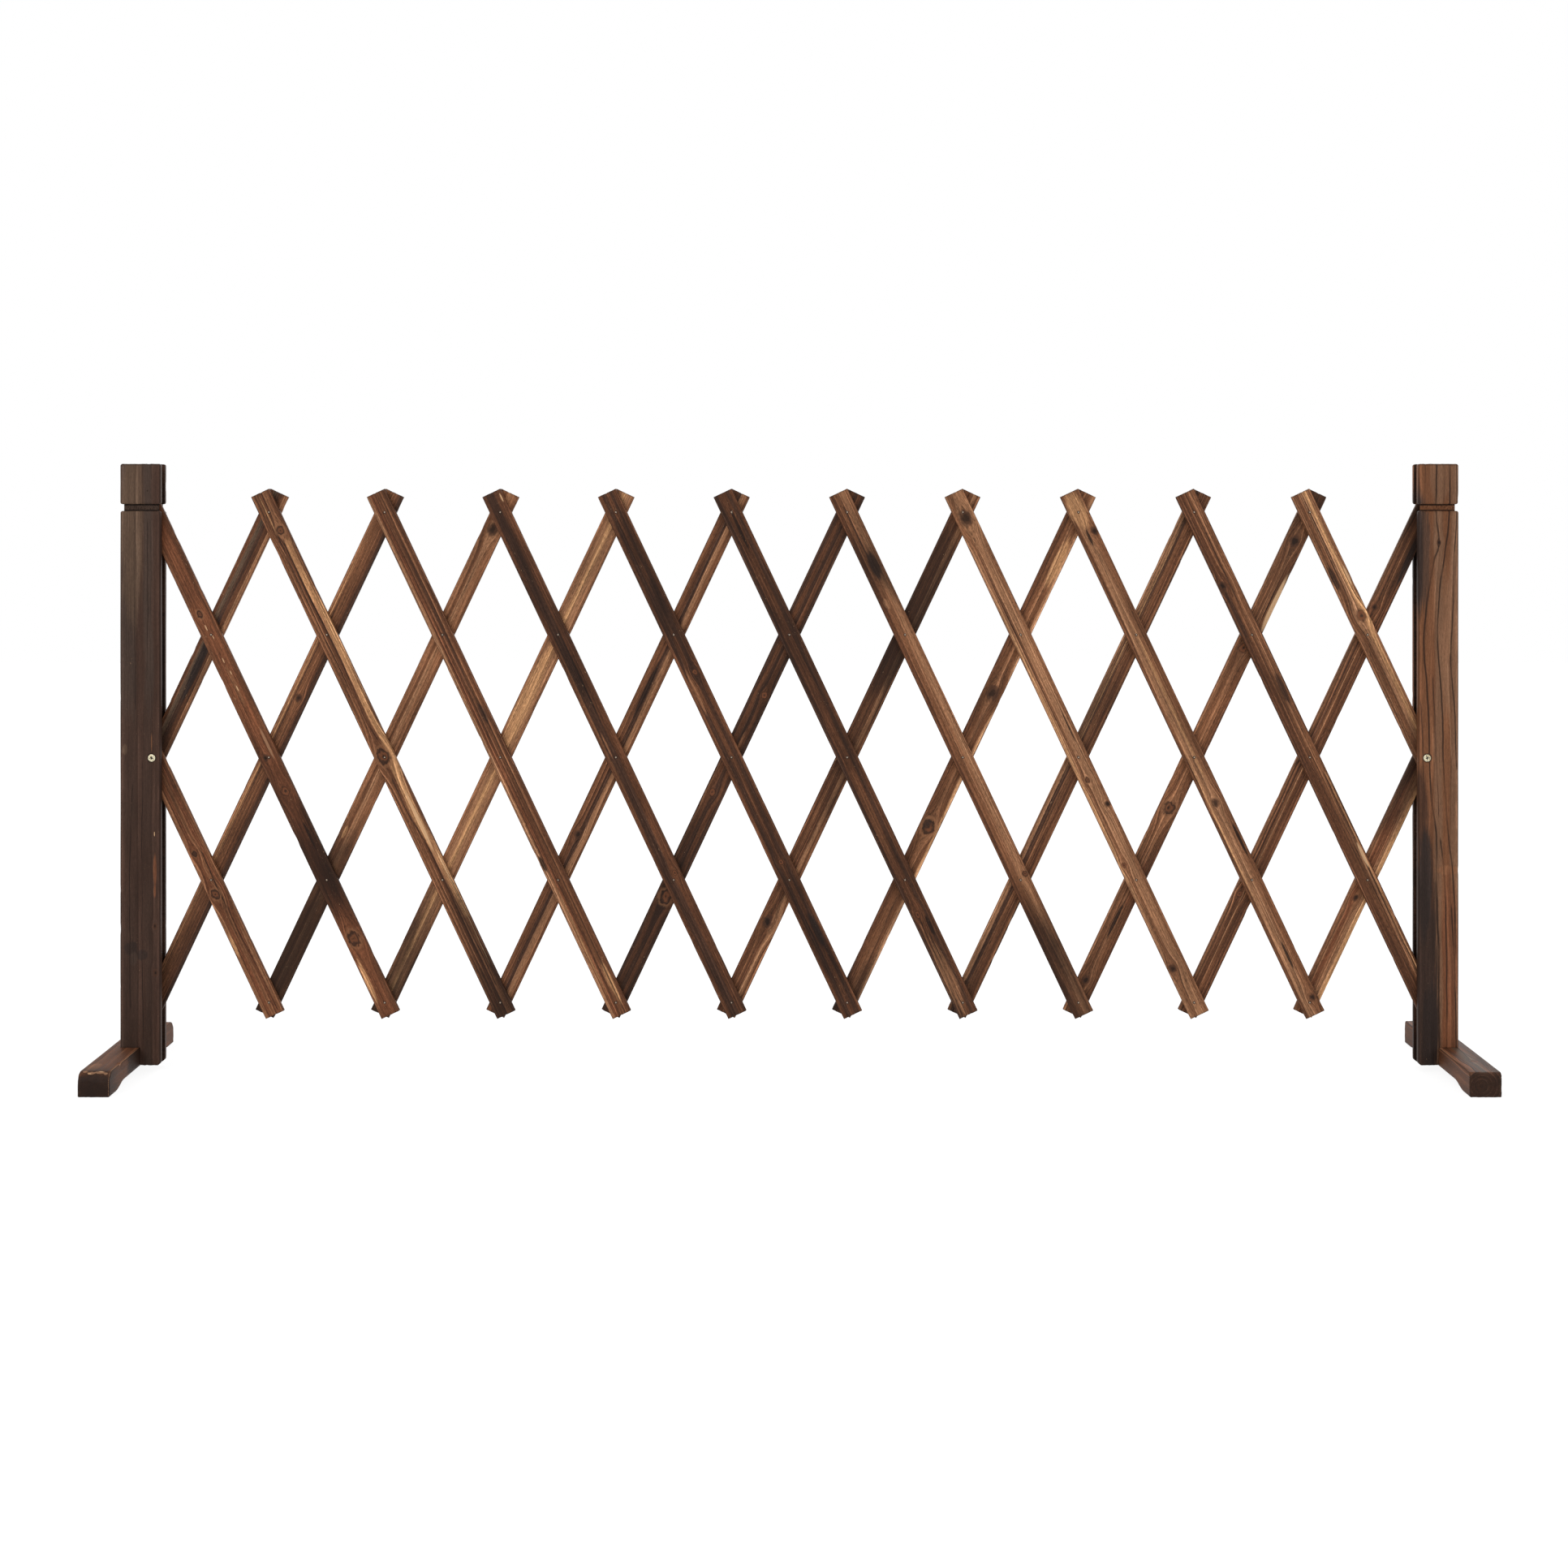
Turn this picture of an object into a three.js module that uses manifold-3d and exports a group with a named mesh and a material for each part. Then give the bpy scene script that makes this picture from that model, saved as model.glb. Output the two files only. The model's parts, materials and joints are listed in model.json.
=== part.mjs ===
// Expandable wooden trellis: two slotted posts on cross feet, joined by a folding lattice of slats.
// Millimetres. +X runs along the fence, the front faces -Y, +Z is up.
// The origin lies on the floor, midway between the posts and midway front to back.
import * as THREE from 'three';
import { mergeVertices } from 'three/addons/utils/BufferGeometryUtils.js';
import Module from 'manifold-3d';

const wasm = await Module();
wasm.setup();

// Fence as it stands
const fenceWidth = 1650;        // between the outer faces of the two posts
const bayCount = 11;            // bays between the columns of joints, from post to post
const holesEachWay = 2;         // joints above, and below, the middle one of a full slat

// Slats
const slatWidth = 25;
const slatThickness = 7;
const slatEdgeEase = 1;
const slatOverhang = 26.5;      // wood past the last joint, at a top end in the open
const lowOverhang = 17;         // the same at a bottom end
const buriedOverhang = 15;      // the same at an end that works inside a post
const holeSpacing = 167.5;      // from joint to joint along a slat
const foldedSlatGap = 5.5;      // left between neighbours when the fence is folded shut

// Posts
const postWidth = 50;
const postDepth = 33;
const postEdgeEase = 2;
const pivotInset = 11;          // pivots behind the face that the lattice leaves by
const capHeight = 50;           // square block above the groove
const grooveHeight = 8;
const grooveDepth = 3.5;
const postFloorGap = 6.7;       // the cheeks of the slot end this far above the floor
const postBottomRound = 6;
const foldedTopMargin = 1.6;    // post above the slat ends when folded

// Feet
const footLength = 320;
const footWidth = 38;
const footHeight = 29;
const footEdgeEase = 1.5;
const footEndRound = 8;
const footPadLength = 30;       // flat that rests on the floor at each end
const footArchRun = 40;         // over which the underside rises
const footArchHeight = 6.3;
const foldedFootMargin = 7.3;   // foot to the lowest buried slat end when folded

// Wire nails with clenched ends
const nailRadius = 1.2;
const nailHeadRadius = 1.9;
const nailHeadHeight = 0.7;
const nailHeadRim = 0.3;

// Countersunk cross-head screws: one pivot in each post, two up through each foot
const screwHeadRadius = 4.5;
const screwHeadRim = 0.4;
const screwShankRadius = 2;
const screwPointLength = 4;
const screwCrossLength = 4.6;
const screwCrossWidth = 0.9;
const screwCrossDepth = 1.6;
const pivotScrewLength = 29;
const footScrewLength = 50;
const footScrewInset = 7.5;     // from the front and rear faces of the post
const footScrewRecess = 1;      // heads above the arch of the foot

// Clearances
const layerGap = 0.3;           // between the two layers of slats
const slotSideClearance = 0.35; // slats to the cheeks of a post
const slotEndClearance = 0.5;   // buried slat ends to the spine of a post
const seatGap = 0.3;            // between pieces that touch
const nailHoleClearance = 0.5;
const overrun = 5;              // cutters past the faces that they cut
const weldDistance = 0.001;

// How finely round shapes are divided
const nailSides = 8;
const screwSides = 16;
const roundSteps = 5;
const archSteps = 6;

// Shape of the lattice, from the sizes above
const pivotX = fenceWidth / 2 - postWidth + pivotInset;
const columnPitch = 2 * pivotX / bayCount;
const restAngle = Math.asin(columnPitch / (2 * holeSpacing));
const foldedAngle = Math.asin((slatWidth + foldedSlatGap) / holeSpacing) / 2;
const foldedReach = holesEachWay * holeSpacing * Math.cos(foldedAngle);
const middleZ = footHeight + foldedFootMargin + foldedEnd(buriedOverhang) + foldedReach;
const slatY = (slatThickness + layerGap) / 2;
const latticeHalfDepth = slatThickness + layerGap / 2;

// Shape of a post
const postX = (fenceWidth - postWidth) / 2;
const postTop = middleZ + foldedReach + foldedEnd(slatOverhang) + foldedTopMargin;
const slotWidth = 2 * (latticeHalfDepth + slotSideClearance);
const slotDepth = pivotInset + Math.hypot(slatWidth / 2, buriedOverhang) + slotEndClearance;
const spineX = fenceWidth / 2 - (postWidth - slotDepth) / 2;

// Screws and the holes for them
const screwHoleRadius = screwShankRadius + seatGap;
const screwHeadHoleRadius = screwHeadRadius + seatGap;
const screwHeadHeight = screwHeadRim + screwHeadRadius - screwShankRadius;
const footScrewZ = footArchHeight + footScrewRecess;
const footScrewY = postDepth / 2 - footScrewInset;

// Vertical reach of a slat end past its last joint when the fence is folded shut
function foldedEnd(overhang) {
  return overhang * Math.cos(foldedAngle) + slatWidth / 2 * Math.sin(foldedAngle);
}

function solidOf(geometry) {
  const bare = geometry.clone();
  bare.deleteAttribute('normal');
  bare.deleteAttribute('uv');
  const merged = mergeVertices(bare, weldDistance);
  return new wasm.Manifold(new wasm.Mesh({
    numProp: 3,
    vertProperties: new Float32Array(merged.attributes.position.array),
    triVerts: new Uint32Array(merged.index.array),
  }));
}

function geometryOf(solid) {
  const mesh = solid.getMesh();
  const geometry = new THREE.BufferGeometry();
  geometry.setAttribute('position', new THREE.BufferAttribute(mesh.vertProperties, 3));
  geometry.setIndex(new THREE.BufferAttribute(mesh.triVerts, 1));
  const flat = geometry.toNonIndexed();
  flat.computeVertexNormals();
  return flat;
}

function blockAt(width, depth, height, x, y, z) {
  return solidOf(new THREE.BoxGeometry(width, depth, height).translate(x, y, z));
}

// A round bar along Y, from front to back
function barAt(radius, front, back, x, z, sides) {
  const bar = new THREE.CylinderGeometry(radius, radius, back - front, sides);
  return solidOf(bar.translate(x, (front + back) / 2, z));
}

// A rectangle with its corners taken off, centred on the origin
function easedRectangle(width, depth, ease) {
  const halfWidth = width / 2;
  const halfDepth = depth / 2;
  const outline = new THREE.Shape();
  outline.moveTo(-halfWidth + ease, -halfDepth);
  outline.lineTo(halfWidth - ease, -halfDepth);
  outline.lineTo(halfWidth, -halfDepth + ease);
  outline.lineTo(halfWidth, halfDepth - ease);
  outline.lineTo(halfWidth - ease, halfDepth);
  outline.lineTo(-halfWidth + ease, halfDepth);
  outline.lineTo(-halfWidth, halfDepth - ease);
  outline.lineTo(-halfWidth, -halfDepth + ease);
  return outline;
}

// An upright length of wood with all its edges eased, from bottom to top
function easedUpright(width, depth, ease, bottom, top) {
  const geometry = new THREE.ExtrudeGeometry(easedRectangle(width, depth, ease), {
    depth: top - bottom - 2 * ease,
    bevelEnabled: true,
    bevelThickness: ease,
    bevelSize: ease,
    bevelOffset: -ease,
    bevelSegments: 1,
  });
  return solidOf(geometry.translate(0, 0, bottom + ease));
}

// A screw along +Y with its head's face at y = 0
function screwGeometry(length) {
  const profile = [
    new THREE.Vector2(0, 0),
    new THREE.Vector2(screwHeadRadius, 0),
    new THREE.Vector2(screwHeadRadius, screwHeadRim),
    new THREE.Vector2(screwShankRadius, screwHeadHeight),
    new THREE.Vector2(screwShankRadius, length - screwPointLength),
    new THREE.Vector2(0, length),
  ];
  const body = solidOf(new THREE.LatheGeometry(profile, screwSides));
  const cutDepth = screwCrossDepth + overrun;
  const cutY = screwCrossDepth - cutDepth / 2;
  const across = blockAt(screwCrossLength, cutDepth, screwCrossWidth, 0, cutY, 0);
  const upright = blockAt(screwCrossWidth, cutDepth, screwCrossLength, 0, cutY, 0);
  return geometryOf(body.subtract(across).subtract(upright));
}

// The room that such a screw takes up, its head's pocket run out through the surface
function screwCutter(length) {
  const shank = barAt(screwHoleRadius, -overrun, length + seatGap, 0, 0, screwSides);
  const profile = [
    new THREE.Vector2(0, -overrun),
    new THREE.Vector2(screwHeadHoleRadius, -overrun),
    new THREE.Vector2(screwHeadHoleRadius, screwHeadRim),
    new THREE.Vector2(screwHoleRadius, screwHeadHeight),
    new THREE.Vector2(0, screwHeadHeight),
  ];
  return shank.add(solidOf(new THREE.LatheGeometry(profile, screwSides)));
}

// A nail along Y, drawn through both layers and clenched at each end
function nailGeometry() {
  const seat = latticeHalfDepth + seatGap;
  const rim = seat + nailHeadRim;
  const end = seat + nailHeadHeight;
  const crown = (nailRadius + nailHeadRadius) / 2;
  const profile = [
    new THREE.Vector2(0, -end),
    new THREE.Vector2(crown, -end),
    new THREE.Vector2(nailHeadRadius, -rim),
    new THREE.Vector2(nailHeadRadius, -seat),
    new THREE.Vector2(nailRadius, -seat),
    new THREE.Vector2(nailRadius, seat),
    new THREE.Vector2(nailHeadRadius, seat),
    new THREE.Vector2(nailHeadRadius, rim),
    new THREE.Vector2(crown, end),
    new THREE.Vector2(0, end),
  ];
  return new THREE.LatheGeometry(profile, nailSides);
}

// A slat along Z with its middle joint at the origin. The counts are the joints below and above
// the middle one, and a post joint turns on a screw, so its hole is wider.
function slatGeometry(below, above, lowEnd, highEnd, postJoint) {
  const bottom = -below * holeSpacing - lowEnd;
  const length = (below + above) * holeSpacing + lowEnd + highEnd;
  const section = easedRectangle(slatWidth, slatThickness, slatEdgeEase);
  const strip = new THREE.ExtrudeGeometry(section, { depth: length, bevelEnabled: false });
  let slat = solidOf(strip.translate(0, 0, bottom));
  for (let joint = -below; joint <= above; joint++) {
    const radius = joint === postJoint ? screwHoleRadius : nailRadius + nailHoleClearance;
    const hole = barAt(radius, -slatThickness, slatThickness, 0, joint * holeSpacing, nailSides);
    slat = slat.subtract(hole);
  }
  return geometryOf(slat);
}

// The rounded-off lower corner of a post's cheeks, as the wood that is taken away
function bottomRoundCutter(side) {
  const cornerX = -side * postWidth / 2;
  const centreX = cornerX + side * postBottomRound;
  const centreZ = postFloorGap + postBottomRound;
  const points = [
    new THREE.Vector2(cornerX - side * overrun, centreZ),
    new THREE.Vector2(cornerX - side * overrun, postFloorGap - overrun),
    new THREE.Vector2(centreX, postFloorGap - overrun),
  ];
  for (let step = 0; step <= roundSteps; step++) {
    const angle = Math.PI / 2 * step / roundSteps;
    const x = centreX - side * postBottomRound * Math.sin(angle);
    const z = centreZ - postBottomRound * Math.cos(angle);
    points.push(new THREE.Vector2(x, z));
  }
  const depth = postDepth + 2 * overrun;
  const cutter = new THREE.ExtrudeGeometry(new THREE.Shape(points), { depth, bevelEnabled: false });
  return solidOf(cutter.rotateX(Math.PI / 2).translate(0, depth / 2, 0));
}

// A post about its own centre line. Side is +1 where its outer face looks along +X.
function postGeometry(side) {
  const grooveTop = postTop - capHeight;
  const grooveBottom = grooveTop - grooveHeight;
  const neckWidth = postWidth - 2 * grooveDepth;
  const neckDepth = postDepth - 2 * grooveDepth;
  const shaft = easedUpright(postWidth, postDepth, postEdgeEase, postFloorGap, grooveBottom);
  const neckLow = grooveBottom - capHeight / 2;
  const neckHigh = grooveTop + capHeight / 2;
  const neck = blockAt(neckWidth, neckDepth, neckHigh - neckLow, 0, 0, (neckLow + neckHigh) / 2);
  const cap = easedUpright(postWidth, postDepth, postEdgeEase, grooveTop, postTop);
  const slotRun = slotDepth + overrun;
  const slotX = side * (slotDepth - postWidth / 2 - slotRun / 2);
  const slot = blockAt(slotRun, slotWidth, 2 * postTop, slotX, 0, postTop / 2);
  const notchTop = footHeight + seatGap;
  const notchWidth = postWidth / 2 + overrun;
  const notchHeight = notchTop + overrun;
  const notchX = side * notchWidth / 2;
  const notchZ = notchTop - notchHeight / 2;
  const notch = blockAt(notchWidth, postDepth + 2 * overrun, notchHeight, notchX, 0, notchZ);
  const pivotCutter = screwCutter(pivotScrewLength)
    .translate([side * (pivotX - postX), -postDepth / 2, middleZ]);
  let post = shaft.add(neck).add(cap).subtract(slot).subtract(notch);
  post = post.subtract(bottomRoundCutter(side)).subtract(pivotCutter);
  for (const end of [-1, 1]) {
    post = post.subtract(footScrewCutter(side * (spineX - postX), end));
  }
  return geometryOf(post);
}

// The room for a foot screw, at x in the frame of the piece that is bored
function footScrewCutter(x, end) {
  return screwCutter(footScrewLength)
    .rotate([90, 0, 0])
    .translate([x, end * footScrewY, footScrewZ]);
}

// Half of a foot's outline seen from the side, from the arch round to the top
function footHalfOutline() {
  const halfLength = footLength / 2;
  const padStart = halfLength - footPadLength;
  const points = [];
  for (let step = 0; step <= archSteps; step++) {
    const share = step / archSteps;
    const y = padStart - footArchRun * (1 - share);
    points.push(new THREE.Vector2(y, footArchHeight * (1 + Math.cos(Math.PI * share)) / 2));
  }
  points.push(new THREE.Vector2(halfLength, 0));
  for (let step = 0; step <= roundSteps; step++) {
    const angle = Math.PI / 2 * step / roundSteps;
    const y = halfLength - footEndRound * (1 - Math.cos(angle));
    const z = footHeight - footEndRound * (1 - Math.sin(angle));
    points.push(new THREE.Vector2(y, z));
  }
  return points;
}

// A foot about the centre line of its width, standing on the floor
function footGeometry(side, footX) {
  const half = footHalfOutline();
  const mirrored = half.map((point) => new THREE.Vector2(-point.x, point.y)).reverse();
  const outline = new THREE.Shape([...half, ...mirrored]);
  const bar = new THREE.ExtrudeGeometry(outline, {
    depth: footWidth - 2 * footEdgeEase,
    bevelEnabled: true,
    bevelThickness: footEdgeEase,
    bevelSize: footEdgeEase,
    bevelOffset: -footEdgeEase,
    bevelSegments: 1,
  });
  bar.translate(0, 0, footEdgeEase - footWidth / 2);
  const alongX = new THREE.Matrix4().makeBasis(
    new THREE.Vector3(0, 1, 0),
    new THREE.Vector3(0, 0, 1),
    new THREE.Vector3(1, 0, 0),
  );
  let foot = solidOf(bar.applyMatrix4(alongX));
  for (const end of [-1, 1]) {
    foot = foot.subtract(footScrewCutter(side * (spineX - footX), end));
  }
  return geometryOf(foot);
}

function wood(colour) {
  return new THREE.MeshStandardMaterial({ color: colour, roughness: 0.62, metalness: 0 });
}

function metal(colour) {
  return new THREE.MeshStandardMaterial({ color: colour, roughness: 0.35, metalness: 1 });
}

const postColour = '#4a3528';
const footColour = '#46332a';
const screwColour = '#c9b98a';
const nailColour = '#b9b4aa';
const frontColours = ['#5b3526', '#8a5c34', '#7a5233', '#553024', '#5a3325', '#4f2e24'];
const rearColours = ['#4b3a2e', '#7b5c3c', '#a07443', '#8b6840', '#4a3a30'];

const trellis = new THREE.Group();

function addMesh(group, name, geometry, material) {
  const mesh = new THREE.Mesh(geometry, material);
  mesh.name = name;
  group.add(mesh);
  return mesh;
}

// Posts, feet and their screws
for (const [sideName, side] of [['left', -1], ['right', 1]]) {
  const upright = new THREE.Group();
  upright.position.x = side * postX;
  addMesh(upright, `${sideName}_post`, postGeometry(side), wood(postColour));
  const footX = postX + seatGap + footWidth / 2;
  const foot = addMesh(upright, `${sideName}_foot`, footGeometry(side, footX), wood(footColour));
  foot.position.x = side * (footX - postX);
  const pivotScrew = screwGeometry(pivotScrewLength);
  const pivot = addMesh(upright, `${sideName}_pivot_screw`, pivotScrew, metal(screwColour));
  pivot.position.set(side * (pivotX - postX), -postDepth / 2, middleZ);
  for (const [endName, end] of [['front', -1], ['rear', 1]]) {
    const footScrew = screwGeometry(footScrewLength);
    const screwName = `${sideName}_foot_screw_${endName}`;
    const screw = addMesh(upright, screwName, footScrew, metal(screwColour));
    screw.rotation.x = Math.PI / 2;
    screw.position.set(side * (spineX - postX), end * footScrewY, footScrewZ);
  }
  trellis.add(upright);
}

// Columns of joints are counted from 0 in the left post to bayCount in the right one. A front
// slat leans to the left and a rear one to the right, each named by its middle joint's column.
const halfSpan = holesEachWay / 2;
const layers = [
  { name: 'front', y: -slatY, lean: -1, colours: frontColours },
  { name: 'rear', y: slatY, lean: 1, colours: rearColours },
];
const rowNames = { 2: 'top', 1: 'upper', 0: 'middle', '-1': 'lower', '-2': 'bottom' };

// Nails stand in the joints that carry the movement from post to post, and along the middle row.
// The rows that a front slat holds them in repeat every four slats.
const nailedRows = [[0], [1, 0], [2, 1, 0, -1, -2], [0, -1]];

function slatName(layer, column) {
  if (column === 0) {
    return `${layer.name}_slat_left_short`;
  }
  if (column === bayCount) {
    return `${layer.name}_slat_right_short`;
  }
  return `${layer.name}_slat_${String(column).padStart(2, '0')}`;
}

function addSlat(layer, column) {
  const slat = new THREE.Group();
  slat.position.set(column * columnPitch - pivotX, 0, middleZ);
  slat.rotation.y = layer.lean * restAngle;
  const inPost = (joint) => {
    const at = column + layer.lean * joint / 2;
    return at <= 0 || at >= bayCount;
  };
  const short = inPost(0);
  const keepsTop = !short || (layer.lean > 0) === (column === 0);
  const keepsBottom = !short || !keepsTop;
  const above = keepsTop ? holesEachWay : 0;
  const below = keepsBottom ? holesEachWay : 0;
  const lowEnd = inPost(-below) ? buriedOverhang : lowOverhang;
  const highEnd = inPost(above) ? buriedOverhang : slatOverhang;
  const geometry = slatGeometry(below, above, lowEnd, highEnd, short ? 0 : NaN);
  const colour = layer.colours[column % layer.colours.length];
  const strip = addMesh(slat, slatName(layer, column), geometry, wood(colour));
  strip.position.y = layer.y;
  if (layer.name === 'front' && !short) {
    for (const row of nailedRows[column % nailedRows.length].filter((joint) => !inPost(joint))) {
      const name = `nail_${String(column).padStart(2, '0')}_${rowNames[row]}`;
      const nail = addMesh(slat, name, nailGeometry(), metal(nailColour));
      nail.position.z = row * holeSpacing;
    }
  }
  trellis.add(slat);
}

for (const layer of layers) {
  for (let column = 0; column <= bayCount; column++) {
    addSlat(layer, column);
  }
}

export default trellis;
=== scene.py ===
"""Looks of the expandable trellis: scorched fir posts, feet and slats, wire nails and zinc screws.

Metres. X runs along the fence, the front faces -Y and Z is up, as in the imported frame.
"""

import json
import math

import bmesh
import bpy
from bpy.props import FloatProperty, FloatVectorProperty, IntProperty, PointerProperty
from mathutils import Matrix, Vector, noise


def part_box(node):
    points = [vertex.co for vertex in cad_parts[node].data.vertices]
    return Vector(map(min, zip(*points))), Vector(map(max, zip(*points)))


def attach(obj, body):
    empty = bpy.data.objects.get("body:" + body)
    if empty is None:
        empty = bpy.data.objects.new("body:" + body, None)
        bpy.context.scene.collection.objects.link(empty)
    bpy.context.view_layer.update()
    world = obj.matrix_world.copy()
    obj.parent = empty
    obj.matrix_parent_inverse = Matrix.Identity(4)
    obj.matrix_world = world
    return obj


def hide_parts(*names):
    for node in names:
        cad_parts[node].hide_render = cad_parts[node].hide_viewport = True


bl_info = {
    "name": "Expandable Trellis",
    "version": (1, 0, 0),
    "blender": (4, 5, 0),
    "location": "View3D > Sidebar > Trellis",
    "description": "Dresses the packed trellis in scorched fir, wire nails and zinc screws",
    "category": "Object",
}

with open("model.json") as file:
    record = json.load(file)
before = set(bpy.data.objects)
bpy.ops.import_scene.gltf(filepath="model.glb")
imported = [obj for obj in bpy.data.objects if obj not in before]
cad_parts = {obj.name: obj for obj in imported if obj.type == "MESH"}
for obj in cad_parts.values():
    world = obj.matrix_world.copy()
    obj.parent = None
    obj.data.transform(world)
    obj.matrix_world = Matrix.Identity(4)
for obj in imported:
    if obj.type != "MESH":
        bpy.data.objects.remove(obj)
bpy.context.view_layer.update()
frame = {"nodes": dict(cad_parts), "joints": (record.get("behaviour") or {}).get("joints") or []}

MM = 0.001
TINY = 1e-5
OVERRUN = 0.005  # how far a cutting shape runs out past the wood
SCREW_RIM = 0.0004  # height of the straight rim of a screw's head
FULL_TURN = 2 * math.pi
QUARTER_TURN = Matrix.Rotation(math.pi / 2, 4, "X")
SEEDS = {"front": 1, "rear": 41, "foot": 70, "post": 90}  # so that no two grains are alike
WHITE = (1.0, 1.0, 1.0, 1.0)
BLACK = (0.0, 0.0, 0.0, 1.0)


def joint_place(name):
    """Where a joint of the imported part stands."""
    for joint in frame["joints"]:
        if joint["name"] == name:
            return Vector(joint["pos_m"])
    raise RuntimeError(f"the frame has no joint named {name}")


# Shape of the lattice as it was packed
LEFT_PIVOT = joint_place("fold")
RIGHT_PIVOT = joint_place("fold_right_upright")
BAYS = sum(name.startswith("front_slat_") for name in frame["nodes"]) - 1
PITCH = (RIGHT_PIVOT.x - LEFT_PIVOT.x) / BAYS
RISE = (joint_place("fold_front_02").z - LEFT_PIVOT.z) / 2
TILT = math.atan2(PITCH / 2, RISE)
HOLE_SPACING = math.hypot(PITCH / 2, RISE)
ROW_NAMES = {2: "top", 1: "upper", 0: "middle", -1: "lower", -2: "bottom"}


def paint(red, green, blue):
    """A colour given 0 to 255 a channel, as the linear colour that Blender keeps."""
    channels = []
    for byte in (red, green, blue):
        share = byte / 255
        if share > 0.04045:
            channels.append(((share + 0.055) / 1.055) ** 2.4)
        else:
            channels.append(share / 12.92)
    return tuple(channels)


def size_prop(name, description, default, least=0.0):
    """A length in metres that the sidebar shows."""
    return FloatProperty(
        name=name, description=description, default=default, min=least, unit="LENGTH"
    )


def power_prop(name, description, default):
    """The strength of a lamp in watts that the sidebar shows."""
    return FloatProperty(
        name=name, description=description, default=default, min=0.0, unit="POWER"
    )


def colour_prop(name, description, default):
    """A colour that the sidebar shows."""
    return FloatVectorProperty(
        name=name, description=description, default=default, min=0.0, max=1.0, subtype="COLOR"
    )


class TrellisWood(bpy.types.PropertyGroup):
    """Sizes and tones of the burnt and brushed fir"""

    slat_ease: size_prop("Slat Arris", "How far the long edges of a slat are rounded", 0.0011)
    slat_relief: size_prop("Slat Relief", "Depth of the ridges that the brush leaves", 0.00016)
    slat_chip: size_prop("Slat Chips", "Depth of the chips along the edges of a slat", 0.0006)
    slat_step: size_prop("Slat Division", "Length of a face along a slat", 0.0045, 0.002)
    post_ease: size_prop("Post Edge", "How far the edges of a post and cap are rounded", 0.0024)
    post_relief: size_prop("Post Relief", "Depth of the waves in the faces of a post", 0.00028)
    cap_height: size_prop("Cap Height", "Height of the block above the groove", 0.050, 0.01)
    groove_height: size_prop("Groove Height", "Height of the groove", 0.008, 0.001)
    groove_depth: size_prop("Groove Depth", "Depth of the groove", 0.0035, 0.0005)
    slot_width: size_prop("Slot Width", "Room between the cheeks of a post", 0.015, 0.001)
    slot_depth: size_prop("Slot Depth", "How far the slot reaches into a post", 0.031027, 0.001)
    bottom_round: size_prop("Cheek Round", "Rounding of a post's lower inner corner", 0.006)
    foot_ease: size_prop("Foot Edge", "How far the long edges of a foot are eased", 0.0015)
    foot_end_round: size_prop("Foot Nose", "Rounding of the ends of a foot", 0.008)
    foot_pad: size_prop("Foot Pad", "Length of the flat at each end of a foot", 0.030, 0.001)
    foot_arch_run: size_prop("Arch Run", "Length over which a foot rises", 0.040, 0.001)
    foot_arch_height: size_prop("Arch Height", "Height of a foot above the floor", 0.0063)
    coal: colour_prop("Coal", "Deeply burnt wood", paint(31, 19, 13))
    soot: colour_prop("Soot", "Blue-black burn on the posts", paint(42, 32, 28))
    dark: colour_prop("Dark", "Dark brown wood", paint(65, 42, 30))
    smoke: colour_prop("Smoke", "Grey wood that stood long in the flame", paint(66, 51, 43))
    fawn: colour_prop("Fawn", "Pale grey brown that the brush has opened", paint(116, 83, 61))
    bark: colour_prop("Bark", "Warm dark wood of a post", paint(60, 41, 32))
    umber: colour_prop("Umber", "Middle dark brown wood", paint(92, 57, 37))
    ash: colour_prop("Ash", "Grey brown wood", paint(88, 68, 53))
    chestnut: colour_prop("Chestnut", "Middle brown wood", paint(109, 70, 46))
    russet: colour_prop("Russet", "Red brown wood", paint(108, 65, 42))
    tan: colour_prop("Tan", "Light brown wood", paint(127, 85, 58))
    honey: colour_prop("Honey", "Lightly burnt wood", paint(146, 103, 73))
    gold: colour_prop("Gold", "Barely burnt wood", paint(180, 132, 91))
    flax: colour_prop("Flax", "Torn wood that the brush has rounded again", paint(150, 112, 84))
    straw: colour_prop("Straw", "Torn or worn wood that the flame missed", paint(206, 166, 126))


class TrellisMetal(bpy.types.PropertyGroup):
    """Sizes and colours of the nails and screws"""

    head_radius: size_prop("Nail Head", "Radius of the end of a wire nail", 0.00165, 0.0002)
    wire_radius: size_prop("Wire", "Radius of the wire of a nail", 0.0012, 0.0002)
    hole_radius: size_prop("Nail Hole", "Radius of the nail holes in the slats", 0.0017, 0.0002)
    screw_head_radius: size_prop("Screw Head", "Radius of the head of a screw", 0.0045, 0.0002)
    shank_radius: size_prop("Screw Shank", "Radius of a screw over its thread", 0.002, 0.0002)
    seat_gap: size_prop("Seat Gap", "Room round a screw in its hole", 0.0003)
    round_sides: IntProperty(
        name="Round Sides", description="Faces round a nail head", default=14, min=6
    )
    zinc: colour_prop("Zinc", "Yellow zinc plating", paint(212, 204, 176))
    zinc_worn: colour_prop("Worn Zinc", "Plating where it has dulled", paint(120, 104, 74))
    wire: colour_prop("Wire Steel", "Bright end of a wire nail", paint(172, 152, 130))
    wire_burnt: colour_prop("Burnt Steel", "Rim that the flame has blued", paint(62, 48, 42))


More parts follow.
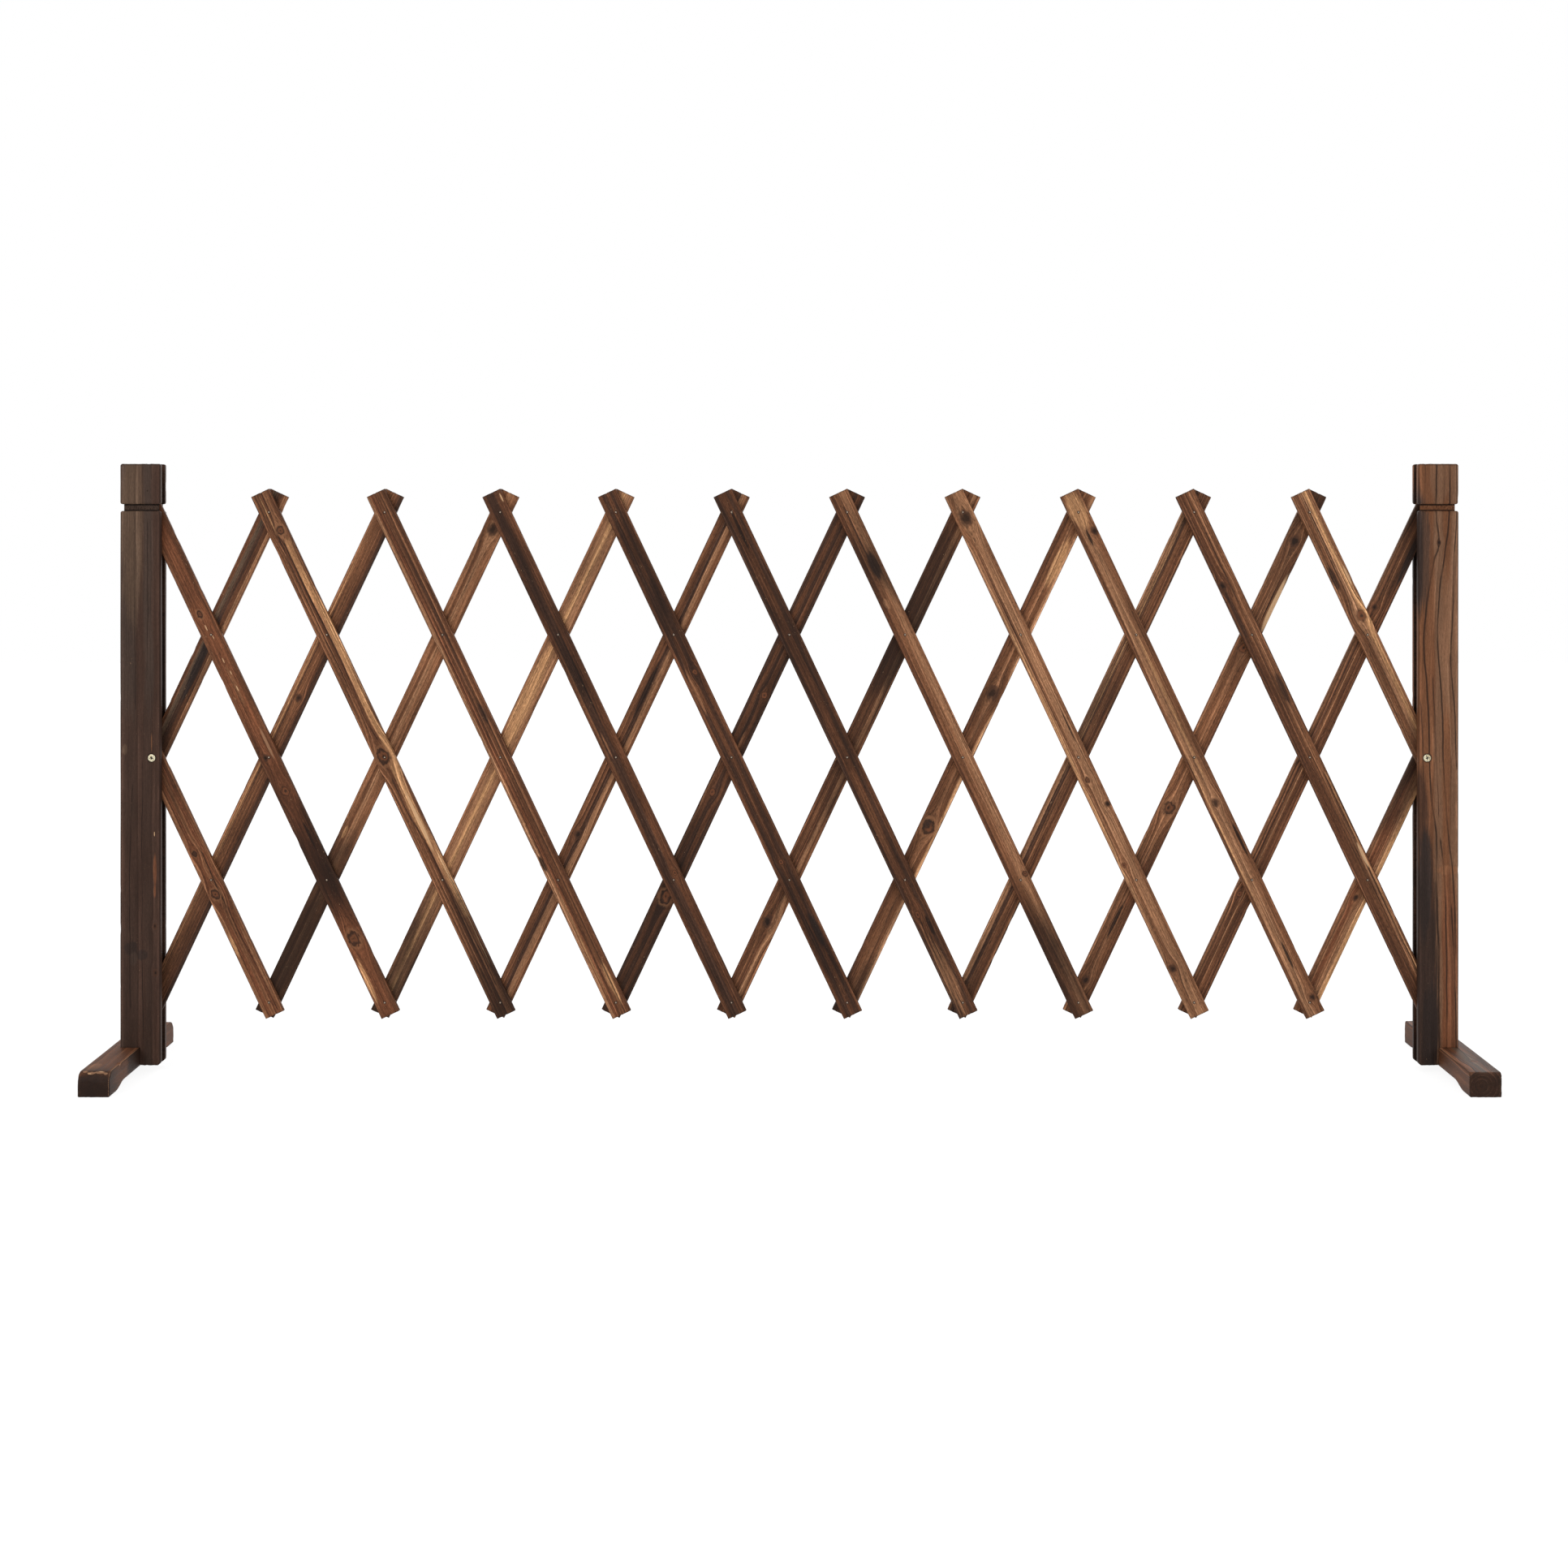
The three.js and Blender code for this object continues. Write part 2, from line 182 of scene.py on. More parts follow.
class TrellisStage(bpy.types.PropertyGroup):
    """Camera, lamps and floor"""

    camera_place: FloatVectorProperty(
        name="Camera",
        description="Where the camera stands",
        subtype="XYZ",
        default=(-0.00665, -3.1965, 0.680),
    )
    lens: FloatProperty(
        name="Lens",
        description="Focal length on a 36 mm sensor, in millimetres",
        default=59.25,
        min=10.0,
    )
    rise_shift: FloatProperty(
        name="Shift",
        description="Vertical shift of the lens, as a share of the picture",
        default=-0.1687,
    )
    key_power: power_prop("Key Light", "Strength of the large lamp on the camera's left", 66.0)
    fill_power: power_prop("Fill Light", "Strength of the large lamp on its right", 34.0)
    top_power: power_prop("Top Light", "Strength of the lamp overhead", 26.0)
    back_power: power_prop("Back Light", "Strength of the lamp behind the fence", 34.0)
    sky_level: FloatProperty(
        name="Room Light",
        description="Light that comes evenly from all round",
        default=0.35,
        min=0.0,
    )
    floor_colour: colour_prop("Floor", "Colour of the studio floor", (0.96, 0.96, 0.96))


# Grain of each slat, described with places across in millimetres from the middle and
# places along as shares of the length from the bottom.
# lanes: tones from the left arris to the right one. burn: the flame from the bottom to the top.
# knots: across, along, radius in millimetres, kind.
# marks: across, along, half the width and half the length in millimetres, tone. One that is
# given twice is laid twice, and comes out stronger.
# strokes: half the width in millimetres, tone, and the points (along, across) of the line.
# spacing: a year's growth in millimetres. line: how strongly its late wood and the painted highlight
# beside it show.
# sharp, waver and seasons: how thin, wavy and uneven the years are.
# heart: where the middle of the tree lies, across and behind, in millimetres.
# mottle, fine and edge: patches of burn, brushed fibre, and the width of the dark edges and of the
# painted highlight just inside them.
# drift: how far the grain leans, in metres. hold: how much of a burnt mark stays.
FRONT_LOOKS = {
    0: dict(
        lanes="tan russet chestnut russet chestnut",
        burn=(0.0, 0.05, 0.1, 0.2, 0.4),
        knots=((-5, 0.605, 3.5, "split"), (-3, 0.452, 4.5, "ringed")),
        marks=((-9, 0.27, 2, 16, "gold"), (8, 0.2, 1.6, 50, "honey")),
        strokes=((0.8, "coal", ((0.02, 5.6), (0.2, 4.4), (0.4, 3.0), (0.6, 4.0))),),
        spacing=4.5, line=0.6, mottle=0.6,
    ),
    1: dict(
        lanes="umber russet russet russet umber",
        burn=(0.1, 0.15, 0.85, 0.45, 0.05, 0.05, 0.1, 0.3),
        knots=(
            (-2, 0.781, 3.2, "ringed"), (0, 0.435, 4.5, "red"), (-1, 0.149, 6.5, "ringed"),
            (-4, 0.503, 3.0, "dark"),
        ),
        marks=(
            (5, 0.525, 2.0, 22, "flax"), (-2, 0.755, 0.7, 4, "straw"), (1, 0.735, 0.6, 3, "straw"),
            (0, 0.69, 0.7, 4, "straw"), (2, 0.665, 0.6, 3, "straw"), (1, 0.635, 0.7, 4, "straw"),
            (4, 0.345, 1.6, 22, "coal"), (-8, 0.07, 3, 30, "gold"), (0, 0.64, 3, 30, "tan"),
        ),
        spacing=7.0, line=0.35, mottle=0.9,
    ),
    2: dict(
        lanes="chestnut chestnut umber tan umber",
        burn=(0.8, 0.6, 0.15, 0.0, 0.0, 0.0, 0.1, 0.2),
        knots=((3, 0.926, 4.2, "ringed"), (-1, 0.496, 7.0, "ringed")),
        marks=(
            (4, 0.4, 4.5, 60, "gold"), (5, 0.37, 2.2, 42, "straw"), (-3, 0.96, 1.0, 30, "gold"),
            (-6, 0.04, 5, 12, "russet"),
        ),
        strokes=(
            (4.0, "gold", ((0.19, 8.8), (0.27, 8.2), (0.33, 6.6), (0.38, 4.8), (0.43, 5.0),
                (0.48, 9.0), (0.53, 8.8), (0.57, 6.4), (0.62, 7.4), (0.7, 8.2), (0.76, 8.4),
                (0.82, 5.6), (0.9, 6.0))),
            (0.7, "coal", ((0.06, 5.0), (0.2, 3.8), (0.27, 2.6), (0.33, 0.2), (0.38, -2.8),
                (0.45, -3.2))),
            (0.7, "coal", ((0.53, 1.0), (0.58, -1.5), (0.63, 1.6), (0.72, 2.6), (0.8, 0.4), (0.9, 0.6))),
            (0.6, "coal", ((0.62, -3.0), (0.75, -4.0), (0.92, -3.0))),
            (0.6, "straw", ((0.1, 8.6), (0.2, 9.6), (0.3, 8.6))),
        ),
        spacing=4.0, line=0.9, mottle=0.4,
    ),
    3: dict(
        lanes="honey russet umber chestnut umber",
        burn=(0.0, 0.05, 0.15, 0.2, 0.25, 0.1, 0.1, 0.3),
        knots=(),
        marks=(
            (4, 0.575, 4, 15, "dark"), (-9, 0.295, 2.5, 12, "coal"), (-6, 0.15, 1.2, 90, "gold"),
            (5, 0.06, 4, 30, "gold"), (3, 0.75, 1.2, 130, "dark"),
        ),
        spacing=4.2, line=0.9, mottle=0.4,
    ),
    4: dict(
        lanes="umber dark dark umber umber",
        burn=(0.3, 0.25, 0.2, 0.15, 0.3, 0.5, 0.45, 0.35),
        knots=((5, 0.269, 2.5, "red"),),
        marks=(
            (-8, 0.55, 1.2, 120, "tan"), (-4, 0.52, 1.2, 18, "tan"), (2, 0.66, 1.4, 60, "coal"),
            (9, 0.985, 1.0, 6, "straw"),
        ),
        spacing=5.0, line=0.4, mottle=0.8,
    ),
    5: dict(
        lanes="umber dark umber dark umber",
        burn=(0.35, 0.35, 0.4, 0.25, 0.15, 0.45, 0.45, 0.1),
        knots=((4, 0.654, 2.8, "red"), (0, 0.293, 2.6, "red")),
        marks=((2, 0.78, 6, 40, "dark"), (-5, 0.62, 3, 30, "tan"), (4, 0.16, 4, 26, "soot")),
        spacing=5.5, line=0.4, mottle=0.9,
    ),
    6: dict(
        lanes="dark umber umber dark umber",
        burn=(0.1, 0.2, 0.45, 0.2, 0.45, 0.5, 0.3, 0.3),
        knots=((-4, 0.195, 3.2, "red"),),
        marks=(
            (4, 0.169, 2.5, 14, "coal"), (-3, 0.38, 4, 60, "chestnut"), (-3, 0.07, 8, 50, "honey"),
            (0, 0.93, 2.2, 30, "coal"),
        ),
        strokes=(
            (0.6, "honey", ((0.01, -9.0), (0.1, -8.0), (0.17, -6.5))),
            (0.7, "coal", ((0.01, -6.5), (0.1, -6.0), (0.19, -4.0))),
            (0.6, "honey", ((0.01, -4.2), (0.09, -4.0), (0.15, -2.5))),
            (0.7, "coal", ((0.01, -1.8), (0.1, -1.5), (0.2, 1.0))),
        ),
        spacing=4.5, line=0.35, mottle=0.9,
    ),
    7: dict(
        lanes="umber chestnut tan honey tan",
        burn=(0.6, 0.7, 0.1, 0.0, 0.05, 0.1, 0.6, 0.05),
        knots=((8, 0.265, 2.8, "ringed"),),
        marks=(
            (-4, 0.79, 4, 7, "honey"), (8, 0.5, 2, 150, "honey"), (2, 0.86, 6, 20, "soot"),
            (-1, 0.93, 1, 40, "dark"),
        ),
        spacing=5.0, line=0.5, mottle=0.5,
    ),
    8: dict(
        lanes="honey tan honey honey tan",
        burn=(0.05, 0.25, 0.1, 0.0, 0.0, 0.0, 0.0, 0.3),
        knots=(
            (0, 0.952, 7.0, "dark"), (-2, 0.451, 2.6, "ringed"), (8, 0.399, 2.6, "dark"),
            (-6, 0.29, 2.5, "red"), (-6, 0.093, 4.0, "dark"),
        ),
        marks=((-5, 0.7, 0.7, 150, "dark"), (5, 0.55, 1.0, 26, "coal"), (-10, 0.5, 1.5, 240, "gold")),
        spacing=3.6, line=0.55, mottle=0.5,
    ),
    9: dict(
        lanes="chestnut honey honey tan chestnut",
        burn=(0.35, 0.1, 0.05, 0.15, 0.0, 0.0, 0.0, 0.1),
        knots=((8, 0.922, 3.5, "dark"), (0, 0.406, 3.5, "dark"), (6, 0.03, 3.2, "dark")),
        marks=(
            (0, 0.965, 11, 26, "gold"), (-1, 0.915, 1.8, 12, "coal"), (8, 0.33, 1.8, 22, "coal"),
            (0, 0.114, 1.6, 18, "coal"), (1, 0.6, 1.8, 110, "gold"), (-8, 0.35, 1.2, 120, "gold"),
        ),
        spacing=3.8, line=0.55, mottle=0.5,
    ),
    10: dict(
        lanes="umber umber chestnut tan chestnut",
        burn=(0.3, 0.25, 0.15, 0.1, 0.3, 0.3, 0.1, 0.1),
        knots=((-7, 0.825, 4.0, "dark"),),
        marks=(
            (-7, 0.77, 3.0, 40, "dark"), (6, 0.62, 4, 22, "dark"), (8, 0.3, 2, 16, "straw"),
            (6, 0.2, 1.4, 120, "honey"), (2, 0.86, 1.0, 80, "dark"),
        ),
        strokes=(
            (0.6, "gold", ((0.03, 9.4), (0.2, 9.0), (0.45, 9.4))),
            (0.6, "coal", ((0.03, 7.4), (0.2, 7.0), (0.45, 7.2))),
            (0.5, "coal", ((0.1, 2.6), (0.3, 3.0), (0.5, 3.4))),
        ),
        spacing=3.8, line=0.7, mottle=0.5,
    ),
    11: dict(
        lanes="tan chestnut honey gold tan",
        burn=(0.55, 0.3, 0.1, 0.0, 0.05),
        knots=((3, 0.551, 5.0, "red"),),
        marks=((-8, 0.7, 4, 16, "dark"), (9, 0.69, 1.6, 14, "straw"), (0, 0.85, 0.8, 60, "dark")),
        spacing=4.0, line=0.75, mottle=0.5,
    ),
}

REAR_LOOKS = {
    0: dict(
        lanes="umber ash dark umber tan",
        burn=(0.7, 0.3, 0.2, 0.15, 0.1),
        knots=(),
        marks=((9, 0.6, 2.2, 140, "honey"), (0, 0.4, 5, 60, "soot")),
        spacing=6.0, line=0.4, mottle=0.7,
    ),
    1: dict(
        lanes="tan chestnut chestnut umber dark",
        burn=(0.4, 0.35, 0.3, 0.1, 0.0, 0.0, 0.05, 0.15),
        knots=((1, 0.606, 3.4, "dark"),),
        marks=((-8, 0.5, 0.9, 280, "gold"), (-5, 0.55, 0.8, 200, "dark"), (9, 0.7, 2.0, 120, "dark")),
        spacing=5.0, line=0.5, mottle=0.5,
    ),
    2: dict(
        lanes="tan chestnut honey tan chestnut",
        burn=(0.85, 0.95, 0.7, 0.1, 0.0, 0.0, 0.0, 0.1),
        knots=((0, 0.93, 6.0, "dark"),),
        marks=((-6, 0.345, 2.5, 8, "gold"), (10, 0.12, 1.5, 80, "tan")),
        spacing=6.5, line=0.35, mottle=0.6,
    ),
    3: dict(
        lanes="tan honey gold honey tan",
        burn=(0.8, 0.65, 0.2, 0.0, 0.0, 0.0, 0.05, 0.1),
        knots=(),
        marks=((-2, 0.6, 9, 80, "gold"), (7, 0.7, 3, 60, "honey"), (2, 0.09, 3, 14, "honey")),
        spacing=7.0, line=0.45, mottle=0.5,
    ),
    4: dict(
        lanes="chestnut umber dark honey chestnut",
        burn=(0.25, 0.1, 0.05, 0.1, 0.0, 0.1, 0.05, 0.3),
        knots=((-2, 0.343, 3.8, "dark"),),
        marks=((6, 0.3, 3, 150, "honey"), (-2, 0.62, 3, 40, "coal")),
        spacing=4.6, line=0.65, mottle=0.6,
    ),
    5: dict(
        lanes="dark umber dark umber dark",
        burn=(0.35, 0.55, 0.5, 0.25, 0.3, 0.3, 0.3, 0.35),
        knots=((4, 0.614, 3.2, "red"), (-3, 0.424, 3.6, "red"), (0, 0.225, 6.2, "ringed")),
        marks=((-10, 0.35, 1.2, 120, "tan"), (2, 0.52, 2, 20, "tan")),
        spacing=5.5, line=0.4, mottle=0.9,
    ),
    6: dict(
        lanes="umber chestnut umber honey chestnut",
        burn=(0.3, 0.1, 0.1, 0.4, 0.5, 0.95, 0.75, 0.0),
        knots=((-2, 0.176, 5.5, "dark"),),
        marks=((5, 0.22, 3, 60, "honey"), (3, 0.55, 3, 40, "tan")),
        spacing=5.0, line=0.55, mottle=0.7,
    ),
    7: dict(
        lanes="umber chestnut tan chestnut honey",
        burn=(0.75, 0.3, 0.1, 0.2, 0.35, 0.15, 0.05, 0.0),
        knots=((0, 0.616, 6.5, "dark"), (-1, 0.358, 6.5, "ringed"), (-4, 0.362, 3.0, "smudge")),
        marks=((4, 0.87, 6, 35, "gold"), (10, 0.4, 1.3, 150, "gold"), (-3, 0.2, 5, 60, "chestnut")),
        spacing=5.5, line=0.55, mottle=0.5,
    ),
    8: dict(
        lanes="honey dark chestnut umber chestnut",
        burn=(0.6, 0.3, 0.15, 0.4, 0.5, 0.2, 0.05, 0.2),
        knots=((-2, 0.03, 4.0, "red"),),
        marks=((-6, 0.7, 0.9, 180, "gold"), (1, 0.5, 1.4, 160, "tan")),
        spacing=3.6, line=0.9, mottle=0.4,
    ),
    9: dict(
        lanes="tan chestnut tan chestnut umber",
        burn=(0.25, 0.15, 0.3, 0.05, 0.0, 0.1, 0.5, 0.7),
        knots=(
            (-1, 0.702, 4.5, "red"), (0, 0.907, 5.5, "dark"), (0, 0.395, 6.0, "ringed"),
            (-2, 0.064, 4.0, "dark"),
        ),
        marks=(
            (10, 0.79, 3.4, 38, "straw"), (-1, 0.18, 2.2, 24, "coal"), (4, 0.79, 0.9, 24, "coal"),
            (3, 0.25, 3.5, 34, "russet"),
        ),
        spacing=5.0, line=0.55, mottle=0.6,
    ),
    10: dict(
        lanes="tan umber chestnut umber umber",
        burn=(0.3, 0.15, 0.1, 0.05, 0.1, 0.25, 0.4, 0.7),
        knots=((-5, 0.231, 2.8, "red"), (-5, 0.79, 2.6, "dark")),
        marks=((-5, 0.5, 0.9, 300, "dark"), (-1, 0.4, 1.0, 220, "honey"), (8, 0.9, 4, 40, "soot")),
        spacing=3.8, line=0.9, mottle=0.4,
    ),
    11: dict(
        lanes="tan russet tan honey gold",
        burn=(0.3, 0.1, 0.05, 0.45, 0.75),
        knots=((-2, 0.431, 2.8, "dark"),),
        marks=((9, 0.35, 1.6, 60, "gold"), (0, 0.65, 5, 50, "russet")),
        spacing=5.5, line=0.6, mottle=0.6,
    ),
}

# The same for the posts, and for the feet, whose places along run from the back to the front.
# groove: tones of the groove under the cap. nose: how round the ends of a foot are.
POST_LOOKS = {
    "left": dict(
        lanes="smoke smoke bark smoke bark",
        burn=(0.3, 0.25, 0.2, 0.15, 0.2, 0.15, 0.1, 0.05),
        knots=((18, 0.232, 2.2, "dark"), (19, 0.155, 2.4, "dark")),
        marks=(
            (0, 0.2, 60, 150, "bark"), (0, 0.45, 60, 120, "bark"), (-10, 0.9, 14, 130, "ash"),
            (-11, 0.195, 9, 9, "soot"), (2, 0.184, 8, 7, "soot"), (-8, 0.178, 5, 9, "smoke"),
            (18, 0.325, 2.2, 20, "russet"), (18, 0.29, 1.4, 9, "russet"), (14, 0.537, 0.8, 12, "tan"),
            # The two coal marks at across 14, share 0.5112 are painted shade: a dark ring round the head
            # of the pivot screw
            (-19, 0.525, 3.0, 7, "ash"), (14, 0.5112, 5.7, 5.7, "coal"),
            (14, 0.5112, 5.7, 5.7, "coal"), (9, 0.955, 1.2, 1.2, "coal"),
            (17.5, 0.385, 0.6, 3, "straw"),
        ),
        strokes=(
            (0.5, "coal", ((0.6, -6.0), (0.75, -6.8), (0.91, -6.2))),
            (0.5, "coal", ((0.65, 8.0), (0.78, 9.4), (0.9, 9.0))),
            (0.5, "coal", ((0.05, 4.0), (0.3, 2.0), (0.5, 3.0))),
            (0.6, "coal", ((0.1, -12.0), (0.3, -13.0), (0.46, -10.0))),
        ),
        spacing=17.0, line=0.4, sharp=3.0, waver=5.0, seasons=0.9, heart=(-70, 25), edge=2.2,
        fine=0.45, mottle=0.35, hold=0.7, groove="coal smoke ash",
    ),
    "right": dict(
        lanes="chestnut chestnut fawn chestnut fawn",
        burn=(0.05, 0.05, 0.1, 0.05, 0.0, 0.0, 0.05, 0.0),
        knots=((0.5, 0.869, 2.2, "dark"),),
        marks=(
            (-22, 0.85, 13, 75, "smoke"), (-26, 0.86, 8, 80, "soot"), (0, 0.869, 2.2, 6, "coal"),
            (2, 0.985, 14, 40, "fawn"), (12, 0.7, 12, 90, "fawn"), (-22, 0.42, 9, 60, "dark"),
            (-17, 0.12, 18, 210, "soot"), (-10, 0.06, 12, 60, "soot"), (12, 0.325, 14, 6, "tan"),
            (21, 0.232, 2.2, 5, "honey"), (-17, 0.3, 9, 70, "soot"), (14, 0.2, 11, 90, "russet"),
            # The two coal marks at across -14, share 0.5112 are painted shade: a dark ring round the
            # head of the pivot screw
            (14, 0.05, 11, 70, "russet"), (-14, 0.5112, 5.7, 5.7, "coal"),
            (-14, 0.5112, 5.7, 5.7, "coal"),
        ),
        strokes=(
            (1.1, "coal", ((0.03, 1), (0.107, 0.4), (0.187, 0), (0.294, -2.6), (0.381, -2.7),
                (0.444, -9), (0.548, -12), (0.628, -14), (0.695, -18), (0.761, -15), (0.801, -10),
                (0.841, -5), (0.871, 0.4), (0.915, -2.6), (1.0, -2.6))),
            (1.0, "coal", ((0.187, 21), (0.297, 18.6), (0.381, 12.4), (0.461, 7.4), (0.548, 5.4),
                (0.611, 3.6), (0.715, -1.4), (0.781, 1.1), (0.858, 8.6), (0.915, 12.9), (1.0, 13.6))),
            (0.8, "coal", ((0.5, 22), (0.568, 20.4), (0.628, 17.4), (0.681, 15), (0.732, 17),
                (0.828, 18.6), (0.875, 21), (1.0, 22))),
            (1.0, "coal", ((0.03, 9.5), (0.107, 10.4), (0.187, 9.9), (0.298, 7.4), (0.37, 3))),
            (0.9, "coal", ((0.03, 21.4), (0.107, 21.2), (0.187, 19), (0.26, 16))),
            (0.8, "dark", ((0.4, -20), (0.5, -19), (0.6, -22))),
            (0.7, "dark", ((0.42, 0), (0.52, -3), (0.64, -7))),
            (0.5, "flax", ((0.69, 14), (0.75, 14.6))),
            (0.5, "flax", ((0.52, 16), (0.62, 12.5), (0.66, 11.5))),
        ),
        spacing=21.0, line=0.4, sharp=3.0, waver=8.0, seasons=0.7, heart=(85, 10), drift=0.012,
        edge=2.2, fine=0.5, mottle=0.4, groove="dark chestnut honey",
    ),
}

FOOT_LOOKS = {
    "left": dict(
        lanes="umber umber umber umber umber",
        burn=(0.35, 0.2, 0.15, 0.1, 0.05, 0.2, 0.7),
        knots=(),
        marks=(
            (0, 0.998, 24, 4, "dark"), (6, 0.974, 6, 2.4, "flax"), (-4, 0.978, 5, 2.0, "flax"),
            (-12, 0.97, 3, 2.4, "flax"), (13, 0.98, 3, 1.6, "flax"), (7, 0.97, 2.5, 0.9, "straw"),
            # The flax mark at across 17.6 is a painted highlight along the foot's right arris
            (-6, 0.981, 2.0, 0.8, "straw"), (17.6, 0.8, 0.6, 70, "flax"), (19, 0.62, 2, 40, "coal"),
            (-8, 0.9, 8, 22, "tan"), (3, 0.7, 2, 40, "chestnut"),
        ),
        nose=1.7, spacing=9.0, line=0.35, sharp=2.0, waver=4.0, seasons=0.9, heart=(-30, 40), edge=1.8,
        fine=0.6, mottle=0.5,
    ),
    "right": dict(
        lanes="umber umber ash umber dark",
        burn=(0.35, 0.2, 0.1, 0.1, 0.15, 0.15, 0.35),
        knots=((4, 0.8, 4.5, "red"),),
        marks=(
            (0, 0.998, 24, 4, "dark"), (-17.6, 0.66, 0.6, 62, "flax"), (2, 0.7, 8, 30, "ash"),
            (13, 0.82, 5, 30, "dark"),
        ),
        strokes=(
            (0.6, "coal", ((0.5, -9), (0.7, -10), (0.85, -8), (0.98, -11))),
            (0.6, "coal", ((0.5, 6), (0.68, 4), (0.8, 9), (0.98, 7))),
            (0.5, "coal", ((0.6, 12), (0.8, 13.5), (0.98, 13))),
        ),
        nose=0.8, spacing=5.0, line=0.85, sharp=1.5, waver=4.0, seasons=0.9, heart=(-5, -1), edge=1.8,
        fine=0.8, mottle=0.7,
    ),
}

# Tones of a knot from its heart outwards, and how far out the last of them lies, in radii
KNOT_RINGS = {
    "ringed": ("coal umber russet dark coal tan honey", 1.5),
    "red": ("coal dark russet russet coal umber", 1.3),
    "dark": ("coal coal coal dark dark dark umber", 1.3),
    "split": ("coal dark coal tan", 1.2),
    "smudge": ("dark soot dark soot soot", 1.7),
}

# Marks laid under the flame's burn, and those laid over it: wood torn after it, and a painted highlight
# along a foot's arris
BURNT_TONES = ("coal", "soot", "dark")
BARE_TONES = ("straw", "flax")

# Across one year's growth, how dark the wood is, and where a painted highlight lies on the ridge beside
# the late wood
YEAR_TONES = ((0.0, 0.12), (0.03, 0.0), (0.68, 0.04), (0.85, 0.4), (0.93, 1.0), (1.0, 0.12))
YEAR_HIGHLIGHT = ((0.01, 0.0), (0.05, 1.0), (0.12, 0.6), (0.4, 0.0))


def settings():
    """The three groups of sizes and colours."""
    scene = bpy.context.scene
    return scene.trellis_wood, scene.trellis_metal, scene.trellis_stage


def opaque(colour):
    """A colour as a node takes it."""
    return (*colour, 1.0)


def tone(word):
    """A tone of the wood by its name."""
    return opaque(getattr(bpy.context.scene.trellis_wood, word))


def grey(amount):
    """A number as a colour, for a ramp that only carries a number."""
    return (amount, amount, amount, 1.0)


def evenly(colours):
    """Stops of a ramp at equal steps."""
    return [(number / (len(colours) - 1), colour) for number, colour in enumerate(colours)]


def from_middle(share, half_length):
    """How far a share of a piece's length lies above its middle."""
    return (share - 0.5) * 2 * half_length


class Bench:
    """Puts nodes in a tree and joins them up."""

    def __init__(self, tree):
        self.tree = tree

    def put(self, kind, **options):
        """A new node with its settings."""
        node = self.tree.nodes.new(kind)
        for name, value in options.items():
            setattr(node, name, value)
        return node

    def feed(self, socket, value):
        """Links a socket to another one, or sets it to a number or a colour."""
        if isinstance(value, bpy.types.NodeSocket):
            self.tree.links.new(value, socket)
        else:
            socket.default_value = value

    def feed_all(self, node, *values, **named):
        """Feeds a node's sockets in their order, or by their names with _ for a space."""
        for socket, value in zip(node.inputs, values):
            self.feed(socket, value)
        for label, value in named.items():
            self.feed(node.inputs[label.replace("_", " ")], value)
        return node.outputs

    def math(self, operation, *values):
        return self.feed_all(self.put("ShaderNodeMath", operation=operation), *values)[0]

    def add(self, first, second):
        return self.math("ADD", first, second)

    def less(self, first, second):
        return self.math("SUBTRACT", first, second)

    def times(self, first, second):
        return self.math("MULTIPLY", first, second)

    def over(self, first, second):
        return self.math("DIVIDE", first, second)

    def vector(self, operation, *values):
        outputs = self.feed_all(self.put("ShaderNodeVectorMath", operation=operation), *values)
        return outputs["Value" if operation == "LENGTH" else "Vector"]

    def length(self, vector):
        return self.vector("LENGTH", vector)

    def parts(self, vector):
        return self.feed_all(self.put("ShaderNodeSeparateXYZ"), vector)

    def joined(self, x, y, z):
        return self.feed_all(self.put("ShaderNodeCombineXYZ"), x, y, z)[0]

    def slope(self, value, low, high, start=0.0, end=1.0):
        """A smooth change from start at low to end at high."""
        node = self.put("ShaderNodeMapRange", interpolation_type="SMOOTHSTEP")
        return self.feed_all(node, value, low, high, start, end)[0]

    def mix(self, share, first, second, blend="MIX"):
        """The first colour with a share of the second in it."""
        node = self.put("ShaderNodeMix", data_type="RGBA", blend_type=blend)
        for number, value in ((0, share), (6, first), (7, second)):
            self.feed(node.inputs[number], value)
        return node.outputs[2]

    def speckle(self, place, stretch, detail=2.0, rough=0.5):
        """Noise of about one feature for each 1 / stretch metres along each axis."""
        node = self.put("ShaderNodeTexNoise")
        drawn = self.vector("MULTIPLY", place, stretch)
        return self.feed_all(node, Vector=drawn, Scale=1.0, Detail=detail, Roughness=rough)[0]

    def swing(self, place, stretch, amount, detail=2.0):
        """Noise about zero, up to half the amount each way."""
        return self.times(self.less(self.speckle(place, stretch, detail), 0.5), amount)

    def ramp(self, value, stops, interpolation="LINEAR"):
        """Stops are (place from 0 to 1, colour)."""
        node = self.put("ShaderNodeValToRGB")
        scale = node.color_ramp
        scale.interpolation = interpolation
        while len(scale.elements) < len(stops):
            scale.elements.new(0.5)
        for stop, (place, colour) in zip(scale.elements, stops):
            stop.position = place
            stop.color = colour
        return self.feed_all(node, value)[0]

    def ramp_of_numbers(self, value, stops):
        return self.ramp(value, [(place, grey(amount)) for place, amount in stops])

    def bump(self, shader, height, strength, distance):
        """Roughens a shader's surface by a height."""
        node = self.put("ShaderNodeBump")
        raised = self.feed_all(node, Strength=strength, Distance=distance, Height=height)[0]
        self.feed(shader.inputs["Normal"], raised)

    def seen(self):
        """1 where the camera looks at the surface, straight or by a mirror or glass."""
        path = self.put("ShaderNodeLightPath").outputs
        seen = self.math("MAXIMUM", path["Is Camera Ray"], path["Is Glossy Ray"])
        return self.math("MAXIMUM", seen, path["Is Transmission Ray"])


